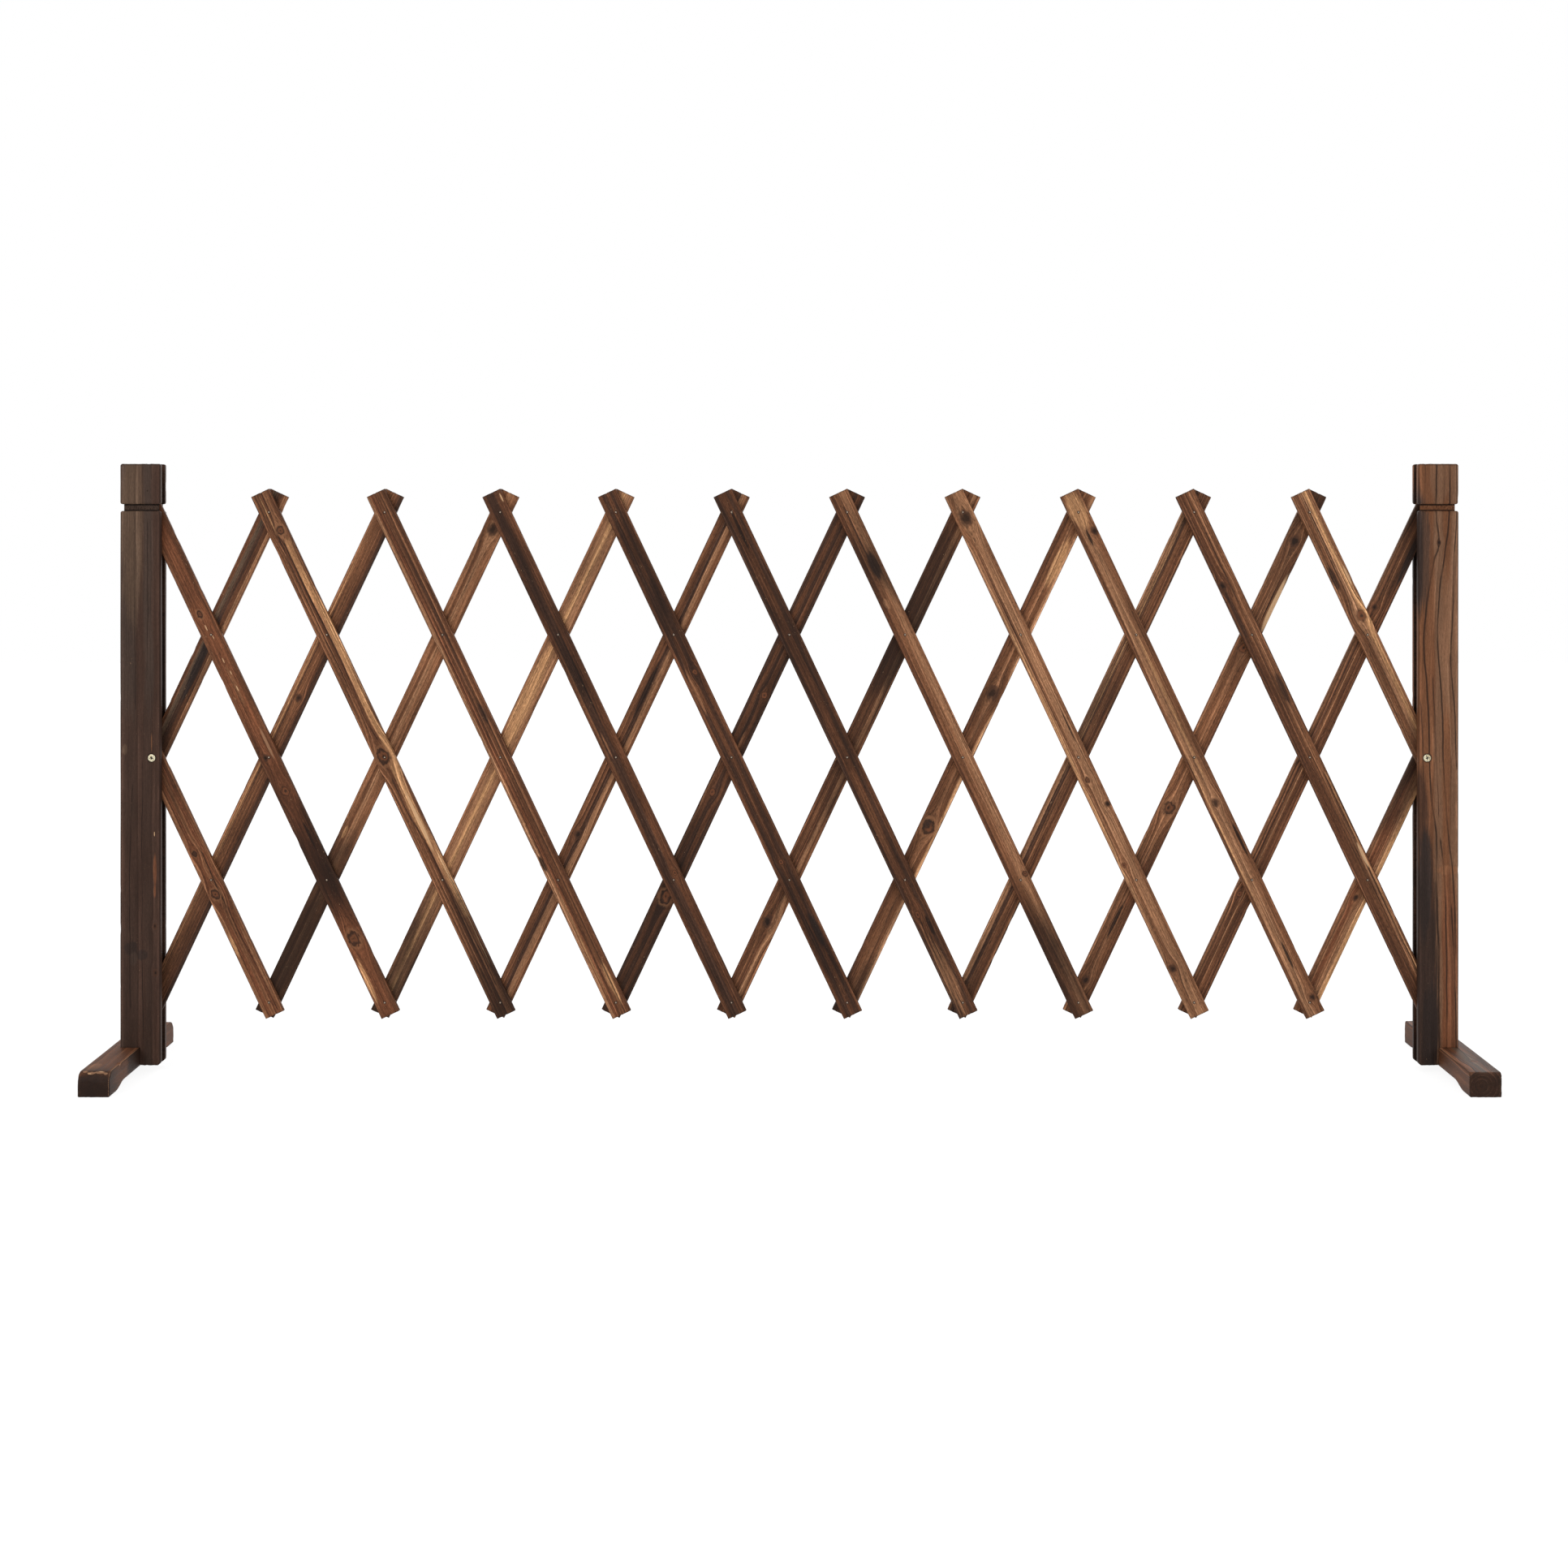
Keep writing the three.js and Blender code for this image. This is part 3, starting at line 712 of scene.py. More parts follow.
def new_group(name, inputs, outputs):
    """An empty node group. The names of its sockets stand after their kind, with _ for a space."""
    tree = bpy.data.node_groups.new(name, "ShaderNodeTree")
    for way, sockets in (("INPUT", inputs), ("OUTPUT", outputs)):
        for kind, labels in sockets.items():
            for label in labels.replace("_", " ").split(", "):
                tree.interface.new_socket(label, in_out=way, socket_type=f"NodeSocket{kind}")
    bench = Bench(tree)
    inlet = bench.put("NodeGroupInput").outputs
    outlet = bench.put("NodeGroupOutput").inputs
    return bench, inlet, outlet


def use_group(bench, name, build, **values):
    """Puts in the named node group, which is built the first time that it is asked for."""
    if name not in bpy.data.node_groups:
        build(name)
    node = bench.put("ShaderNodeGroup", node_tree=bpy.data.node_groups[name])
    return bench.feed_all(node, **values)


def new_material(name):
    """A material, the bench for its nodes, its shader, and the place on the piece."""
    material = bpy.data.materials.new(name)
    material.use_nodes = True
    bench = Bench(material.node_tree)
    shader = material.node_tree.nodes["Principled BSDF"]
    return material, bench, shader, bench.put("ShaderNodeTexCoord").outputs["Object"]


def build_knot(name):
    """Bends the grain round a knot, and gives the distance from its heart in radii."""
    bench, given, result = new_group(
        name,
        {"Vector": "Grain, Place, Centre", "Float": "Radius"},
        {"Vector": "Grain", "Float": "Distance"},
    )
    away = bench.vector("SUBTRACT", given["Place"], given["Centre"])
    flat = bench.vector("MULTIPLY", away, (1.0, 0.0, 0.75))
    distance = bench.over(bench.length(flat), given["Radius"])
    ragged = bench.swing(given["Place"], (260.0, 260.0, 160.0), 1.3, detail=3.0)
    bench.feed(result["Distance"], bench.add(distance, ragged))
    swell = bench.vector("MULTIPLY", away, (0.4, 0.0, 0.24))
    swell = bench.over(bench.length(swell), given["Radius"])
    swell = bench.math("POWER", 2.72, bench.times(bench.math("POWER", swell, 2.0), -1.0))
    aside = bench.times(bench.parts(away)[0], bench.times(swell, -0.85))
    moved = bench.vector("ADD", given["Grain"], bench.joined(aside, 0.0, 0.0))
    bench.feed(result["Grain"], moved)


def build_mark(name):
    """A long soft-edged patch in line with the grain."""
    bench, given, result = new_group(name, {"Vector": "Place, Centre, Reach"}, {"Float": "Share"})
    away = bench.vector("SUBTRACT", given["Place"], given["Centre"])
    away = bench.vector("MULTIPLY", bench.vector("DIVIDE", away, given["Reach"]), (1.0, 0.0, 1.0))
    ragged = bench.swing(given["Place"], (420.0, 420.0, 26.0), 0.8, detail=3.0)
    distance = bench.add(bench.length(away), ragged)
    bench.feed(result["Share"], bench.slope(distance, 1.15, 0.7))


def build_stroke(name):
    """One dark or pale line along the grain. Path is where it runs across the piece."""
    bench, given, result = new_group(
        name, {"Vector": "Place", "Float": "Path, Half_Width"}, {"Float": "Share"}
    )
    across = bench.parts(given["Place"])[0]
    wobble = bench.swing(given["Place"], (40.0, 40.0, 22.0), 0.003)
    away = bench.less(bench.add(across, wobble), given["Path"])
    distance = bench.over(bench.math("ABSOLUTE", away), given["Half Width"])
    patchy = bench.slope(bench.speckle(given["Place"], (90.0, 90.0, 16.0)), 0.3, 0.55, 0.4, 1.0)
    bench.feed(result["Share"], bench.times(bench.slope(distance, 1.5, 0.4), patchy))


def stroke_path(bench, share, points):
    """Where a line runs across the piece at each share of its length, and where it shows at all."""
    reach = 80 * MM
    fade = 0.012
    bend = bench.put("ShaderNodeFloatCurve")
    curve = bend.mapping.curves[0]
    while len(curve.points) < len(points):
        curve.points.new(0.5, 0.5)
    for point, (along, across) in zip(curve.points, sorted(points)):
        point.location = (along, across * MM / reach + 0.5)
    bend.mapping.update()
    bent = bench.feed_all(bend, Value=share)[0]
    path = bench.times(bench.less(bent, 0.5), reach)
    first = min(points)[0]
    last = max(points)[0]
    begun = bench.slope(share, first - fade, first)
    unended = bench.slope(share, last + fade, last)
    return path, bench.times(begun, unended)


def build_grain(name):
    """Growth lines as rings round a heart that lies beside the piece, a painted highlight on the ridge
    beside each line, and the fine fibre.
    """
    bench, given, result = new_group(
        name,
        {"Vector": "Grain, Heart", "Float": "Spacing, Waver, Sharp, Seasons"},
        {"Float": "Line, Ridge, Fibre"},
    )
    grain = given["Grain"]
    sway = bench.swing(grain, (22.0, 22.0, 4.5), given["Waver"])
    fine = bench.swing(grain, (160.0, 160.0, 12.0), 0.0011)
    flat = bench.vector("MULTIPLY", bench.vector("SUBTRACT", grain, given["Heart"]), (1.0, 1.0, 0.0))
    rings = bench.add(bench.length(flat), bench.add(sway, fine))
    years = bench.over(rings, given["Spacing"])
    seasons = bench.put("ShaderNodeTexNoise", noise_dimensions="1D")
    seasons = bench.feed_all(seasons, W=bench.times(years, 0.55), Scale=1.0, Detail=1.0)[0]
    turn = bench.math("FRACT", bench.add(years, bench.times(seasons, given["Seasons"])))
    late = bench.math("POWER", bench.ramp_of_numbers(turn, YEAR_TONES), given["Sharp"])
    uneven = bench.slope(bench.speckle(grain, (55.0, 55.0, 7.0)), 0.3, 0.58, 0.3, 1.0)
    bench.feed(result["Line"], bench.times(late, uneven))
    # A painted highlight on the ridge just after each dark late-wood line, broken into patches by the
    # noise below
    ridge = bench.ramp_of_numbers(turn, YEAR_HIGHLIGHT)
    brushed = bench.slope(bench.speckle(grain, (70.0, 70.0, 5.0)), 0.36, 0.6, 0.15, 1.0)
    bench.feed(result["Ridge"], bench.times(ridge, brushed))
    strand = bench.speckle(grain, (800.0, 800.0, 16.0), detail=4.0, rough=0.65)
    pore = bench.speckle(grain, (1500.0, 1500.0, 230.0), rough=0.6)
    bench.feed(result["Fibre"], bench.add(bench.times(strand, 0.55), bench.times(pore, 0.45)))


def build_finish_and_highlights(name):
    """Flame, brush, dark edges, and painted highlights on the ridges and just inside the long edges,
    over the tone of the wood.
    """
    bench, given, result = new_group(
        name,
        {
            "Color": "Tone, Coal, Straw",
            "Vector": "Place, Shift, Half_Size",
            "Float": "Line, Ridge, Line_Strength, Fibre, Burn, Edge, Fine, Mottle",
        },
        {"Color": "Colour", "Float": "Roughness, Height"},
    )
    coal = given["Coal"]
    fibre = given["Fibre"]
    fine = given["Fine"]
    own = bench.vector("ADD", given["Place"], given["Shift"])
    bright = (2.05, 2.1, 2.2, 1.0)  # these three brighten what they are multiplied with
    highlight_gain = (2.9, 3.15, 3.4, 1.0)
    spared = (1.4, 1.36, 1.32, 1.0)

    # Patches where the flame stayed longer or less long
    cloud = bench.speckle(own, (45.0, 45.0, 9.0), detail=3.0)
    shaded = bench.times(bench.slope(cloud, 0.45, 0.75, 0.0, 0.55), given["Mottle"])
    colour = bench.mix(shaded, given["Tone"], BLACK)
    glow = bench.times(bench.slope(cloud, 0.48, 0.22), given["Mottle"])
    colour = bench.mix(glow, colour, spared, "MULTIPLY")

    # Fibre, growth lines and the painted highlight on the ridges beside them
    sunken = bench.times(bench.slope(fibre, 0.5, 0.37, 0.0, 0.6), fine)
    colour = bench.mix(sunken, colour, BLACK)
    raised = bench.times(bench.slope(fibre, 0.5, 0.64, 0.0, 0.7), fine)
    colour = bench.mix(raised, colour, bright, "MULTIPLY")
    # Painted highlight on the ridge beside each growth line
    ridge = bench.times(given["Ridge"], given["Line Strength"])
    colour = bench.mix(ridge, colour, highlight_gain, "MULTIPLY")
    line = bench.times(given["Line"], given["Line Strength"])
    colour = bench.mix(bench.times(line, 0.92), colour, coal)

    # The burn, and pale flecks that the brush tore from it
    smoke = bench.swing(own, (85.0, 85.0, 13.0), 0.9, detail=3.0)
    burn = bench.slope(bench.add(given["Burn"], smoke), 0.05, 0.95)
    colour = bench.mix(bench.times(burn, 0.9), colour, coal)
    fleck = bench.slope(bench.speckle(own, (640.0, 640.0, 290.0), 2.5, 0.6), 0.66, 0.76)
    torn = bench.slope(bench.speckle(own, (75.0, 75.0, 22.0)), 0.47, 0.62)
    fleck = bench.times(bench.times(fleck, torn), fine)
    colour = bench.mix(bench.times(fleck, 0.45), colour, given["Straw"])

    # Painted highlight in patches just inside the long edges, and dark edges and ends
    room = bench.vector("SUBTRACT", given["Half Size"], bench.vector("ABSOLUTE", given["Place"]))
    spread = bench.joined(given["Edge"], given["Edge"], given["Edge"])
    to_side, to_face, to_end = bench.parts(bench.vector("DIVIDE", room, spread))
    # The wear noise only breaks the painted highlight of the rounded arris into patches
    wear = bench.slope(bench.speckle(own, (240.0, 240.0, 30.0)), 0.3, 0.62, 0.15, 1.0)
    rim = bench.times(bench.slope(to_side, 0.0026, 0.0012), bench.slope(to_side, 0.0003, 0.0010))
    colour = bench.mix(bench.times(bench.times(rim, wear), 0.5), colour, bright, "MULTIPLY")
    edge = bench.math("MAXIMUM", to_side, to_face)
    colour = bench.mix(bench.times(bench.slope(edge, 0.0011, 0.0002), 0.6), colour, coal)
    colour = bench.mix(bench.times(bench.slope(to_end, 0.0016, 0.0002), 0.55), colour, coal)
    bench.feed(result["Colour"], colour)

    rough = bench.add(0.58, bench.times(bench.less(fibre, 0.5), 0.3))
    bench.feed(result["Roughness"], bench.less(rough, bench.times(line, 0.10)))
    height = bench.add(bench.times(fibre, 0.4), bench.times(line, 0.6))
    bench.feed(result["Height"], bench.less(height, bench.times(fleck, 0.25)))


def lane_stops(words):
    """Stops that hold each lane's tone and change it over a short way."""
    words = words.split()
    blend = 0.035
    stops = []
    for number, word in enumerate(words):
        if number > 0:
            stops.append((number / len(words) + blend, tone(word)))
        if number < len(words) - 1:
            stops.append(((number + 1) / len(words) - blend, tone(word)))
    return stops


def bend_grain(bench, look, place, half_length):
    """The grain bent round a piece's knots, and the distance and kind of each."""
    grain = place
    knots = []
    for across, share, radius, kind in look["knots"]:
        centre = (across * MM, 0.0, from_middle(share, half_length))
        given = {"Grain": grain, "Place": place, "Centre": centre, "Radius": radius * MM}
        knot = use_group(bench, "Knot", build_knot, **given)
        grain = knot["Grain"]
        knots.append((knot["Distance"], kind))
    return grain, knots


def lay_marks(bench, look, colour, place, half_length):
    """Lays a piece's marks on its colour, and keeps those of bare torn wood, and the painted highlight
    along a foot's arris, for later.
    """
    torn = []
    for across, share, half_width, half_run, word in look["marks"]:
        centre = (across * MM, 0.0, from_middle(share, half_length))
        reach = (half_width * MM, 1.0, half_run * MM)
        mark = use_group(bench, "Mark", build_mark, Place=place, Centre=centre, Reach=reach)
        if word in BARE_TONES:
            torn.append((mark["Share"], tone(word)))
            continue
        strength = look.get("hold", 0.9) if word in BURNT_TONES else 0.75
        colour = bench.mix(bench.times(mark["Share"], strength), colour, tone(word))
    return colour, torn


def lay_strokes(bench, look, colour, place, share):
    """Draws a piece's own growth lines on its colour."""
    for half_width, word, points in look.get("strokes", ()):
        path, shown = stroke_path(bench, share, points)
        given = {"Place": place, "Path": path, "Half_Width": half_width * MM}
        stroke = use_group(bench, "Stroke", build_stroke, **given)
        strength = bench.times(bench.times(stroke["Share"], shown), 0.85)
        colour = bench.mix(strength, colour, tone(word))
    return colour


def lay_knots(bench, knots, colour):
    """Lays the rings of a piece's knots over its finish."""
    for distance, kind in knots:
        words, reach = KNOT_RINGS[kind]
        rings = bench.ramp(bench.over(distance, reach), evenly([tone(word) for word in words.split()]))
        hold = bench.slope(distance, reach * 1.3, reach * 0.5, 0.0, 0.92)
        colour = bench.mix(hold, colour, rings)
    return colour


def heart_place(look, seed):
    """Where the heart of the tree lies beside the piece."""
    if "heart" in look:
        across, behind = look["heart"]
        return Vector((across * MM, behind * MM, 0.0))
    across = 0.024 + 0.012 * math.sin(seed * 2.3)
    side = -1 if math.sin(seed * 5.1) > 0 else 1
    return Vector((side * across, -0.016 - 0.01 * math.cos(seed * 1.7), 0.0))


def fir_material(name, look, frame_matrix, half_size, seed):
    """Burnt fir for one piece, its grain along the piece's own Z axis."""
    material, bench, shader, place = new_material(name)
    half_width, _, half_length = half_size
    place = bench.feed_all(
        bench.put("ShaderNodeMapping", vector_type="TEXTURE"),
        Vector=place,
        Location=frame_matrix.to_translation(),
        Rotation=frame_matrix.to_euler(),
    )[0]
    shift = Vector((seed * 0.37, seed * 0.61, seed * 1.13))
    grain, knots = bend_grain(bench, look, place, half_length)
    wander = bench.swing(bench.vector("ADD", grain, shift), (18.0, 18.0, 5.0), 0.26)
    across, _, along = bench.parts(grain)
    lane = bench.add(bench.add(bench.over(across, 2 * half_width), 0.5), wander)
    colour = bench.ramp(lane, lane_stops(look["lanes"]))
    if "drift" in look:
        lean = bench.slope(along, 0.08, 0.36, 0.0, look["drift"])
        grain = bench.vector("SUBTRACT", grain, bench.joined(lean, 0.0, 0.0))
    share = bench.add(bench.over(bench.parts(place)[2], 2 * half_length), 0.5)
    colour, torn = lay_marks(bench, look, colour, place, half_length)
    colour = lay_strokes(bench, look, colour, place, share)
    lines = use_group(
        bench,
        "Grain Lines",
        build_grain,
        Grain=bench.vector("ADD", grain, shift),
        Heart=shift + heart_place(look, seed),
        Spacing=look["spacing"] * MM,
        Waver=look.get("waver", 2.2) * 2 * MM,
        Sharp=look.get("sharp", 1.0),
        Seasons=look.get("seasons", 1.7),
    )
    finish = use_group(
        bench,
        "Burnt Finish and Painted Highlights",
        build_finish_and_highlights,
        Tone=colour,
        Coal=tone("coal"),
        Straw=tone("straw"),
        Line=lines["Line"],
        Ridge=lines["Ridge"],
        Line_Strength=look["line"],
        Fibre=lines["Fibre"],
        Burn=bench.ramp(share, evenly([grey(amount) for amount in look["burn"]]), "EASE"),
        Place=place,
        Shift=shift,
        Half_Size=half_size,
        Edge=look.get("edge", 1.0),
        Fine=look.get("fine", 1.0),
        Mottle=look["mottle"],
    )
    colour = finish["Colour"]
    # Bare torn wood, and the painted highlight along a foot's arris, laid over the finish
    for mark, bare in torn:
        colour = bench.mix(bench.times(mark, 0.8), colour, bare)
    colour = lay_knots(bench, knots, colour)
    bench.feed_all(
        shader, Base_Color=colour, Roughness=finish["Roughness"], Specular_IOR_Level=0.12
    )
    bench.bump(shader, finish["Height"], 0.8, 0.7 * MM)
    return material


def dark_cut_material():
    """Near-black wood on the routed and drilled faces: slot walls, holes and notches."""
    made = bpy.data.materials.get("dark_cut_wood")
    if made:
        return made
    material, bench, shader, place = new_material("dark_cut_wood")
    saw = bench.speckle(place, (60.0, 300.0, 420.0), detail=3.0)
    soft = bench.slope(bench.speckle(place, (40.0, 40.0, 12.0)), 0.35, 0.7)
    colour = bench.mix(soft, tone("coal"), tone("dark"))
    near_black = (0.004, 0.003, 0.003, 1.0)
    colour = bench.mix(bench.slope(saw, 0.55, 0.25, 0.0, 0.7), colour, near_black)
    rough = bench.slope(saw, 0.2, 0.8, 0.95, 0.75)
    bench.feed_all(shader, Base_Color=colour, Roughness=rough, Specular_IOR_Level=0.15)
    bench.bump(shader, saw, 0.6, 0.5 * MM)
    return material


def groove_material(name, words, low, high):
    """The routed groove under a cap: rough across the grain, blackest against its two shoulders, where
    painted shade under the cap and above the shaft joins the burn.
    """
    deep, middle, torn_tone = (tone(word) for word in words.split())
    material, bench, shader, place = new_material(name)
    torn = bench.speckle(place, (900.0, 900.0, 420.0), detail=4.0, rough=0.7)
    colour = bench.mix(bench.slope(torn, 0.3, 0.5), deep, middle)
    colour = bench.mix(bench.slope(torn, 0.55, 0.7, 0.0, 0.8), colour, torn_tone)
    height = bench.parts(place)[2]
    # Painted shade in the corners under the cap and above the shaft, together with the burn there,
    # darkens the groove against its shoulders
    under = bench.slope(height, high - 2.2 * MM, high - 0.8 * MM)
    above = bench.slope(height, low + 1.8 * MM, low + 0.7 * MM)
    shoulder = bench.times(bench.math("MAXIMUM", under, above), 0.92)
    near_black = (0.006, 0.004, 0.003, 1.0)
    colour = bench.mix(shoulder, colour, near_black)
    rough = bench.slope(torn, 0.2, 0.8, 0.95, 0.7)
    bench.feed_all(shader, Base_Color=colour, Roughness=rough, Specular_IOR_Level=0.12)
    bench.bump(shader, torn, 0.9, 0.9 * MM)
    return material


def zinc_material():
    """Yellow zinc plating with fine scratches, duller where it was handled."""
    metal = bpy.context.scene.trellis_metal
    material, bench, shader, place = new_material("yellow_zinc")
    cloud = bench.slope(bench.speckle(place, (520.0, 520.0, 520.0), detail=3.0), 0.42, 0.72)
    scratch = bench.speckle(place, (4200.0, 4200.0, 700.0))
    colour = bench.mix(cloud, opaque(metal.zinc), opaque(metal.zinc_worn))
    rough = bench.add(0.3, bench.times(scratch, 0.25))
    bench.feed_all(shader, Base_Color=colour, Metallic=0.85, Roughness=rough)
    bench.bump(shader, scratch, 0.3, 0.08 * MM)
    return material


def recess_material():
    """The cross recess of a screw: near-black with painted shade, and patches of worn zinc from the
    driver and dust.
    """
    worn = opaque(bpy.context.scene.trellis_metal.zinc_worn)
    material, bench, shader, place = new_material("zinc_recess")
    dust = bench.speckle(place, (900.0, 900.0, 900.0), detail=3.0)
    # The coal tone is painted shade in the recess; the worn zinc patches are driver wear and dust
    colour = bench.mix(bench.slope(dust, 0.4, 0.8, 0.0, 0.3), tone("coal"), worn)
    rough = bench.slope(dust, 0.2, 0.8, 0.75, 0.5)
    bench.feed_all(shader, Base_Color=colour, Metallic=0.2, Roughness=rough)
    return material


def wire_material():
    """Nail steel: blued by the flame at the rim, bright where the crown has rubbed."""
    metal = bpy.context.scene.trellis_metal
    material, bench, shader, place = new_material("wire_nail_steel")
    crown = bench.put("ShaderNodeAttribute", attribute_name="crown").outputs["Fac"]
    patch = bench.swing(place, (1100.0, 1100.0, 1100.0), 0.5)
    worn = bench.slope(bench.add(crown, patch), 0.38, 0.68)
    colour = bench.mix(worn, opaque(metal.wire_burnt), opaque(metal.wire))
    rough = bench.slope(worn, 0.0, 1.0, 0.6, 0.35)
    bench.feed_all(shader, Base_Color=colour, Metallic=0.6, Roughness=rough)
    return material


def upright_edges(bm):
    """Edges that run along Z."""
    found = []
    for edge in bm.edges:
        run = edge.verts[1].co - edge.verts[0].co
        if abs(run.z) > 0.9 * run.length:
            found.append(edge)
    return found


def divide(bm, size, number, axis):
    """Slices a shape into equal layers along X, Y or Z, which are axis 0, 1 and 2."""
    direction = Vector((0, 0, 0))
    direction[axis] = 1
    for step in range(1, number):
        geometry = bm.verts[:] + bm.edges[:] + bm.faces[:]
        place = direction * ((step / number - 0.5) * size)
        bmesh.ops.bisect_plane(bm, geom=geometry, plane_co=place, plane_no=direction, dist=TINY)


def round_edges(bm, edges, offset, segments):
    """Rounds edges of a shape."""
    bmesh.ops.bevel(
        bm,
        geom=edges,
        offset=offset,
        segments=segments,
        profile=0.5,
        affect="EDGES",
        material=-1,
    )


def moved_shape(bm, matrix):
    """The same shape in another place."""
    bmesh.ops.transform(bm, matrix=matrix, verts=bm.verts)
    return bm


def box_shape(low, high):
    """A plain block between two corners."""
    low = Vector(low)
    high = Vector(high)
    bm = bmesh.new()
    bmesh.ops.create_cube(bm, size=1)
    bmesh.ops.scale(bm, vec=high - low, verts=bm.verts)
    bmesh.ops.translate(bm, vec=(low + high) / 2, verts=bm.verts)
    return bm


def across_box(sides, depth, low, high):
    """A block through a post from front to back, between two places across it."""
    left, right = sorted(sides)
    return box_shape((left, -depth, low), (right, depth, high))


def add_rod(bm, radius, length, sides, place):
    """Adds a round rod that lies front to back."""
    bmesh.ops.create_cone(
        bm,
        cap_ends=True,
        segments=sides,
        radius1=radius,
        radius2=radius,
        depth=length,
        matrix=Matrix.Translation(place) @ QUARTER_TURN,
    )


def spun_shape(profile, sides):
    """A closed round shape about Y, from (radius, y) points that begin and end on the axis."""
    bm = bmesh.new()
    line = [bm.verts.new((radius, y, 0)) for radius, y in profile]
    edges = [bm.edges.new(pair) for pair in zip(line, line[1:])]
    bmesh.ops.spin(
        bm,
        geom=line + edges,
        cent=(0, 0, 0),
        axis=(0, 1, 0),
        dvec=(0, 0, 0),
        angle=FULL_TURN,
        steps=sides,
        use_merge=True,
    )
    bmesh.ops.remove_doubles(bm, verts=bm.verts, dist=TINY / 10)
    bmesh.ops.recalc_face_normals(bm, faces=bm.faces)
    return bm


def rounded_bar(width, depth, low, high, ease, end_ease, lanes, layers, step):
    """A bar along Z with rounded long edges, its faces divided into lanes for the relief."""
    bm = box_shape((-width / 2, -depth / 2, low + end_ease), (width / 2, depth / 2, high - end_ease))
    round_edges(bm, upright_edges(bm), ease, segments=3)
    divide(bm, width - 2 * ease, lanes, axis=0)
    divide(bm, depth - 2 * ease, layers, axis=1)
    cuts = max(1, round((high - low) / step))
    bmesh.ops.subdivide_edges(bm, edges=upright_edges(bm), cuts=cuts, use_grid_fill=True)
    for side in (-1, 1):
        inset = 0.0
        rise = 0.0
        for turn in (math.pi / 6, math.pi / 3, math.pi / 2):
            bm.normal_update()
            ends = [face for face in bm.faces if face.normal.z * side > 0.99]
            borders = {edge for face in ends for edge in face.edges}
            made = bmesh.ops.extrude_face_region(bm, geom=ends + list(borders))
            moved = [item for item in made["geom"] if isinstance(item, bmesh.types.BMVert)]
            next_inset = end_ease * (1 - math.cos(turn))
            next_rise = end_ease * math.sin(turn)
            shrink_x = (width - 2 * next_inset) / (width - 2 * inset)
            shrink_y = (depth - 2 * next_inset) / (depth - 2 * inset)
            bmesh.ops.scale(bm, vec=(shrink_x, shrink_y, 1), verts=moved)
            bmesh.ops.translate(bm, vec=(0, 0, side * (next_rise - rise)), verts=moved)
            inset = next_inset
            rise = next_rise
    return bm


def smooth_share(value, low, high):
    """0 below low, 1 above high, and a smooth step between."""
    share = min(1.0, max(0.0, (value - low) / (high - low)))
    return share * share * (3 - 2 * share)


def dome_drop(share):
    """How far a round dome of height 1 has dropped at a share of its radius."""
    return 1 - math.sqrt(max(0.0, 1 - share * share))


def weather(bm, half_size, relief, chip, ease, seed, knots=(), stands=False):
    """Sinks the faces into brushed ridges, chipped edges, torn ends and knots. Nothing rises.

    The side towards -Y of a piece that stands on it keeps its edges.
    """
    half_width, half_depth, half_length = half_size
    shift = Vector((seed * 3.7, seed * 1.9, seed * 5.3))
    ridge_rate = Vector((330, 330, 8))  # how often the noise turns in a metre along each axis
    tear_rate = Vector((420, 300, 0))
    nick_rate = 42
    end_reach = 3 * ease
    knot_reach = 1.4
    knot_rings = 7
    bm.normal_update()
    sunk = []
    for vert in bm.verts:
        place = vert.co
        ridges = noise.noise(place * ridge_rate + shift)
        depth = relief * smooth_share(ridges, -0.5, 0.6)
        to_side = half_width - abs(place.x)
        to_face = half_depth - abs(place.y)
        to_end = half_length - abs(place.z)
        corner = 1 - smooth_share(to_side + to_face, ease * 0.8, ease * 3.2)
        if stands and place.y < 0:
            corner = 0
        if corner > 0:
            mark = math.copysign(9, place.x) + math.copysign(4, place.y)
            nick = noise.noise(Vector((mark, seed * 2.1, place.z * nick_rate)))
            depth += chip * corner * smooth_share(nick, 0.32, 0.7)
        if to_end < end_reach and not (stands and place.y < -0.6 * half_depth):
            own_end = Vector((0, 0, math.copysign(seed, place.z)))
            tear = noise.noise(place * tear_rate + own_end)
            depth += chip * 0.9 * (1 - to_end / end_reach) * smooth_share(tear, 0.0, 0.6)
        for across, share, radius, _ in knots:
            gap = Vector((place.x - across * MM, 0, place.z - from_middle(share, half_length)))
            distance = gap.length / (radius * MM)
            if distance < knot_reach:
                ring = 0.5 + 0.5 * math.cos(distance * knot_rings)
                depth += relief * 1.5 * (1 - distance / knot_reach) * (0.4 + ring)
        sunk.append((vert, vert.normal * -depth))
    for vert, move in sunk:
        vert.co += move


def object_from(bm, name, materials):
    """A new object in the scene from a mesh in the making."""
    mesh = bpy.data.meshes.new(name)
    bm.to_mesh(mesh)
    bm.free()
    for material in materials:
        mesh.materials.append(material)
    piece = bpy.data.objects.new(name, mesh)
    bpy.context.scene.collection.objects.link(piece)
    return piece


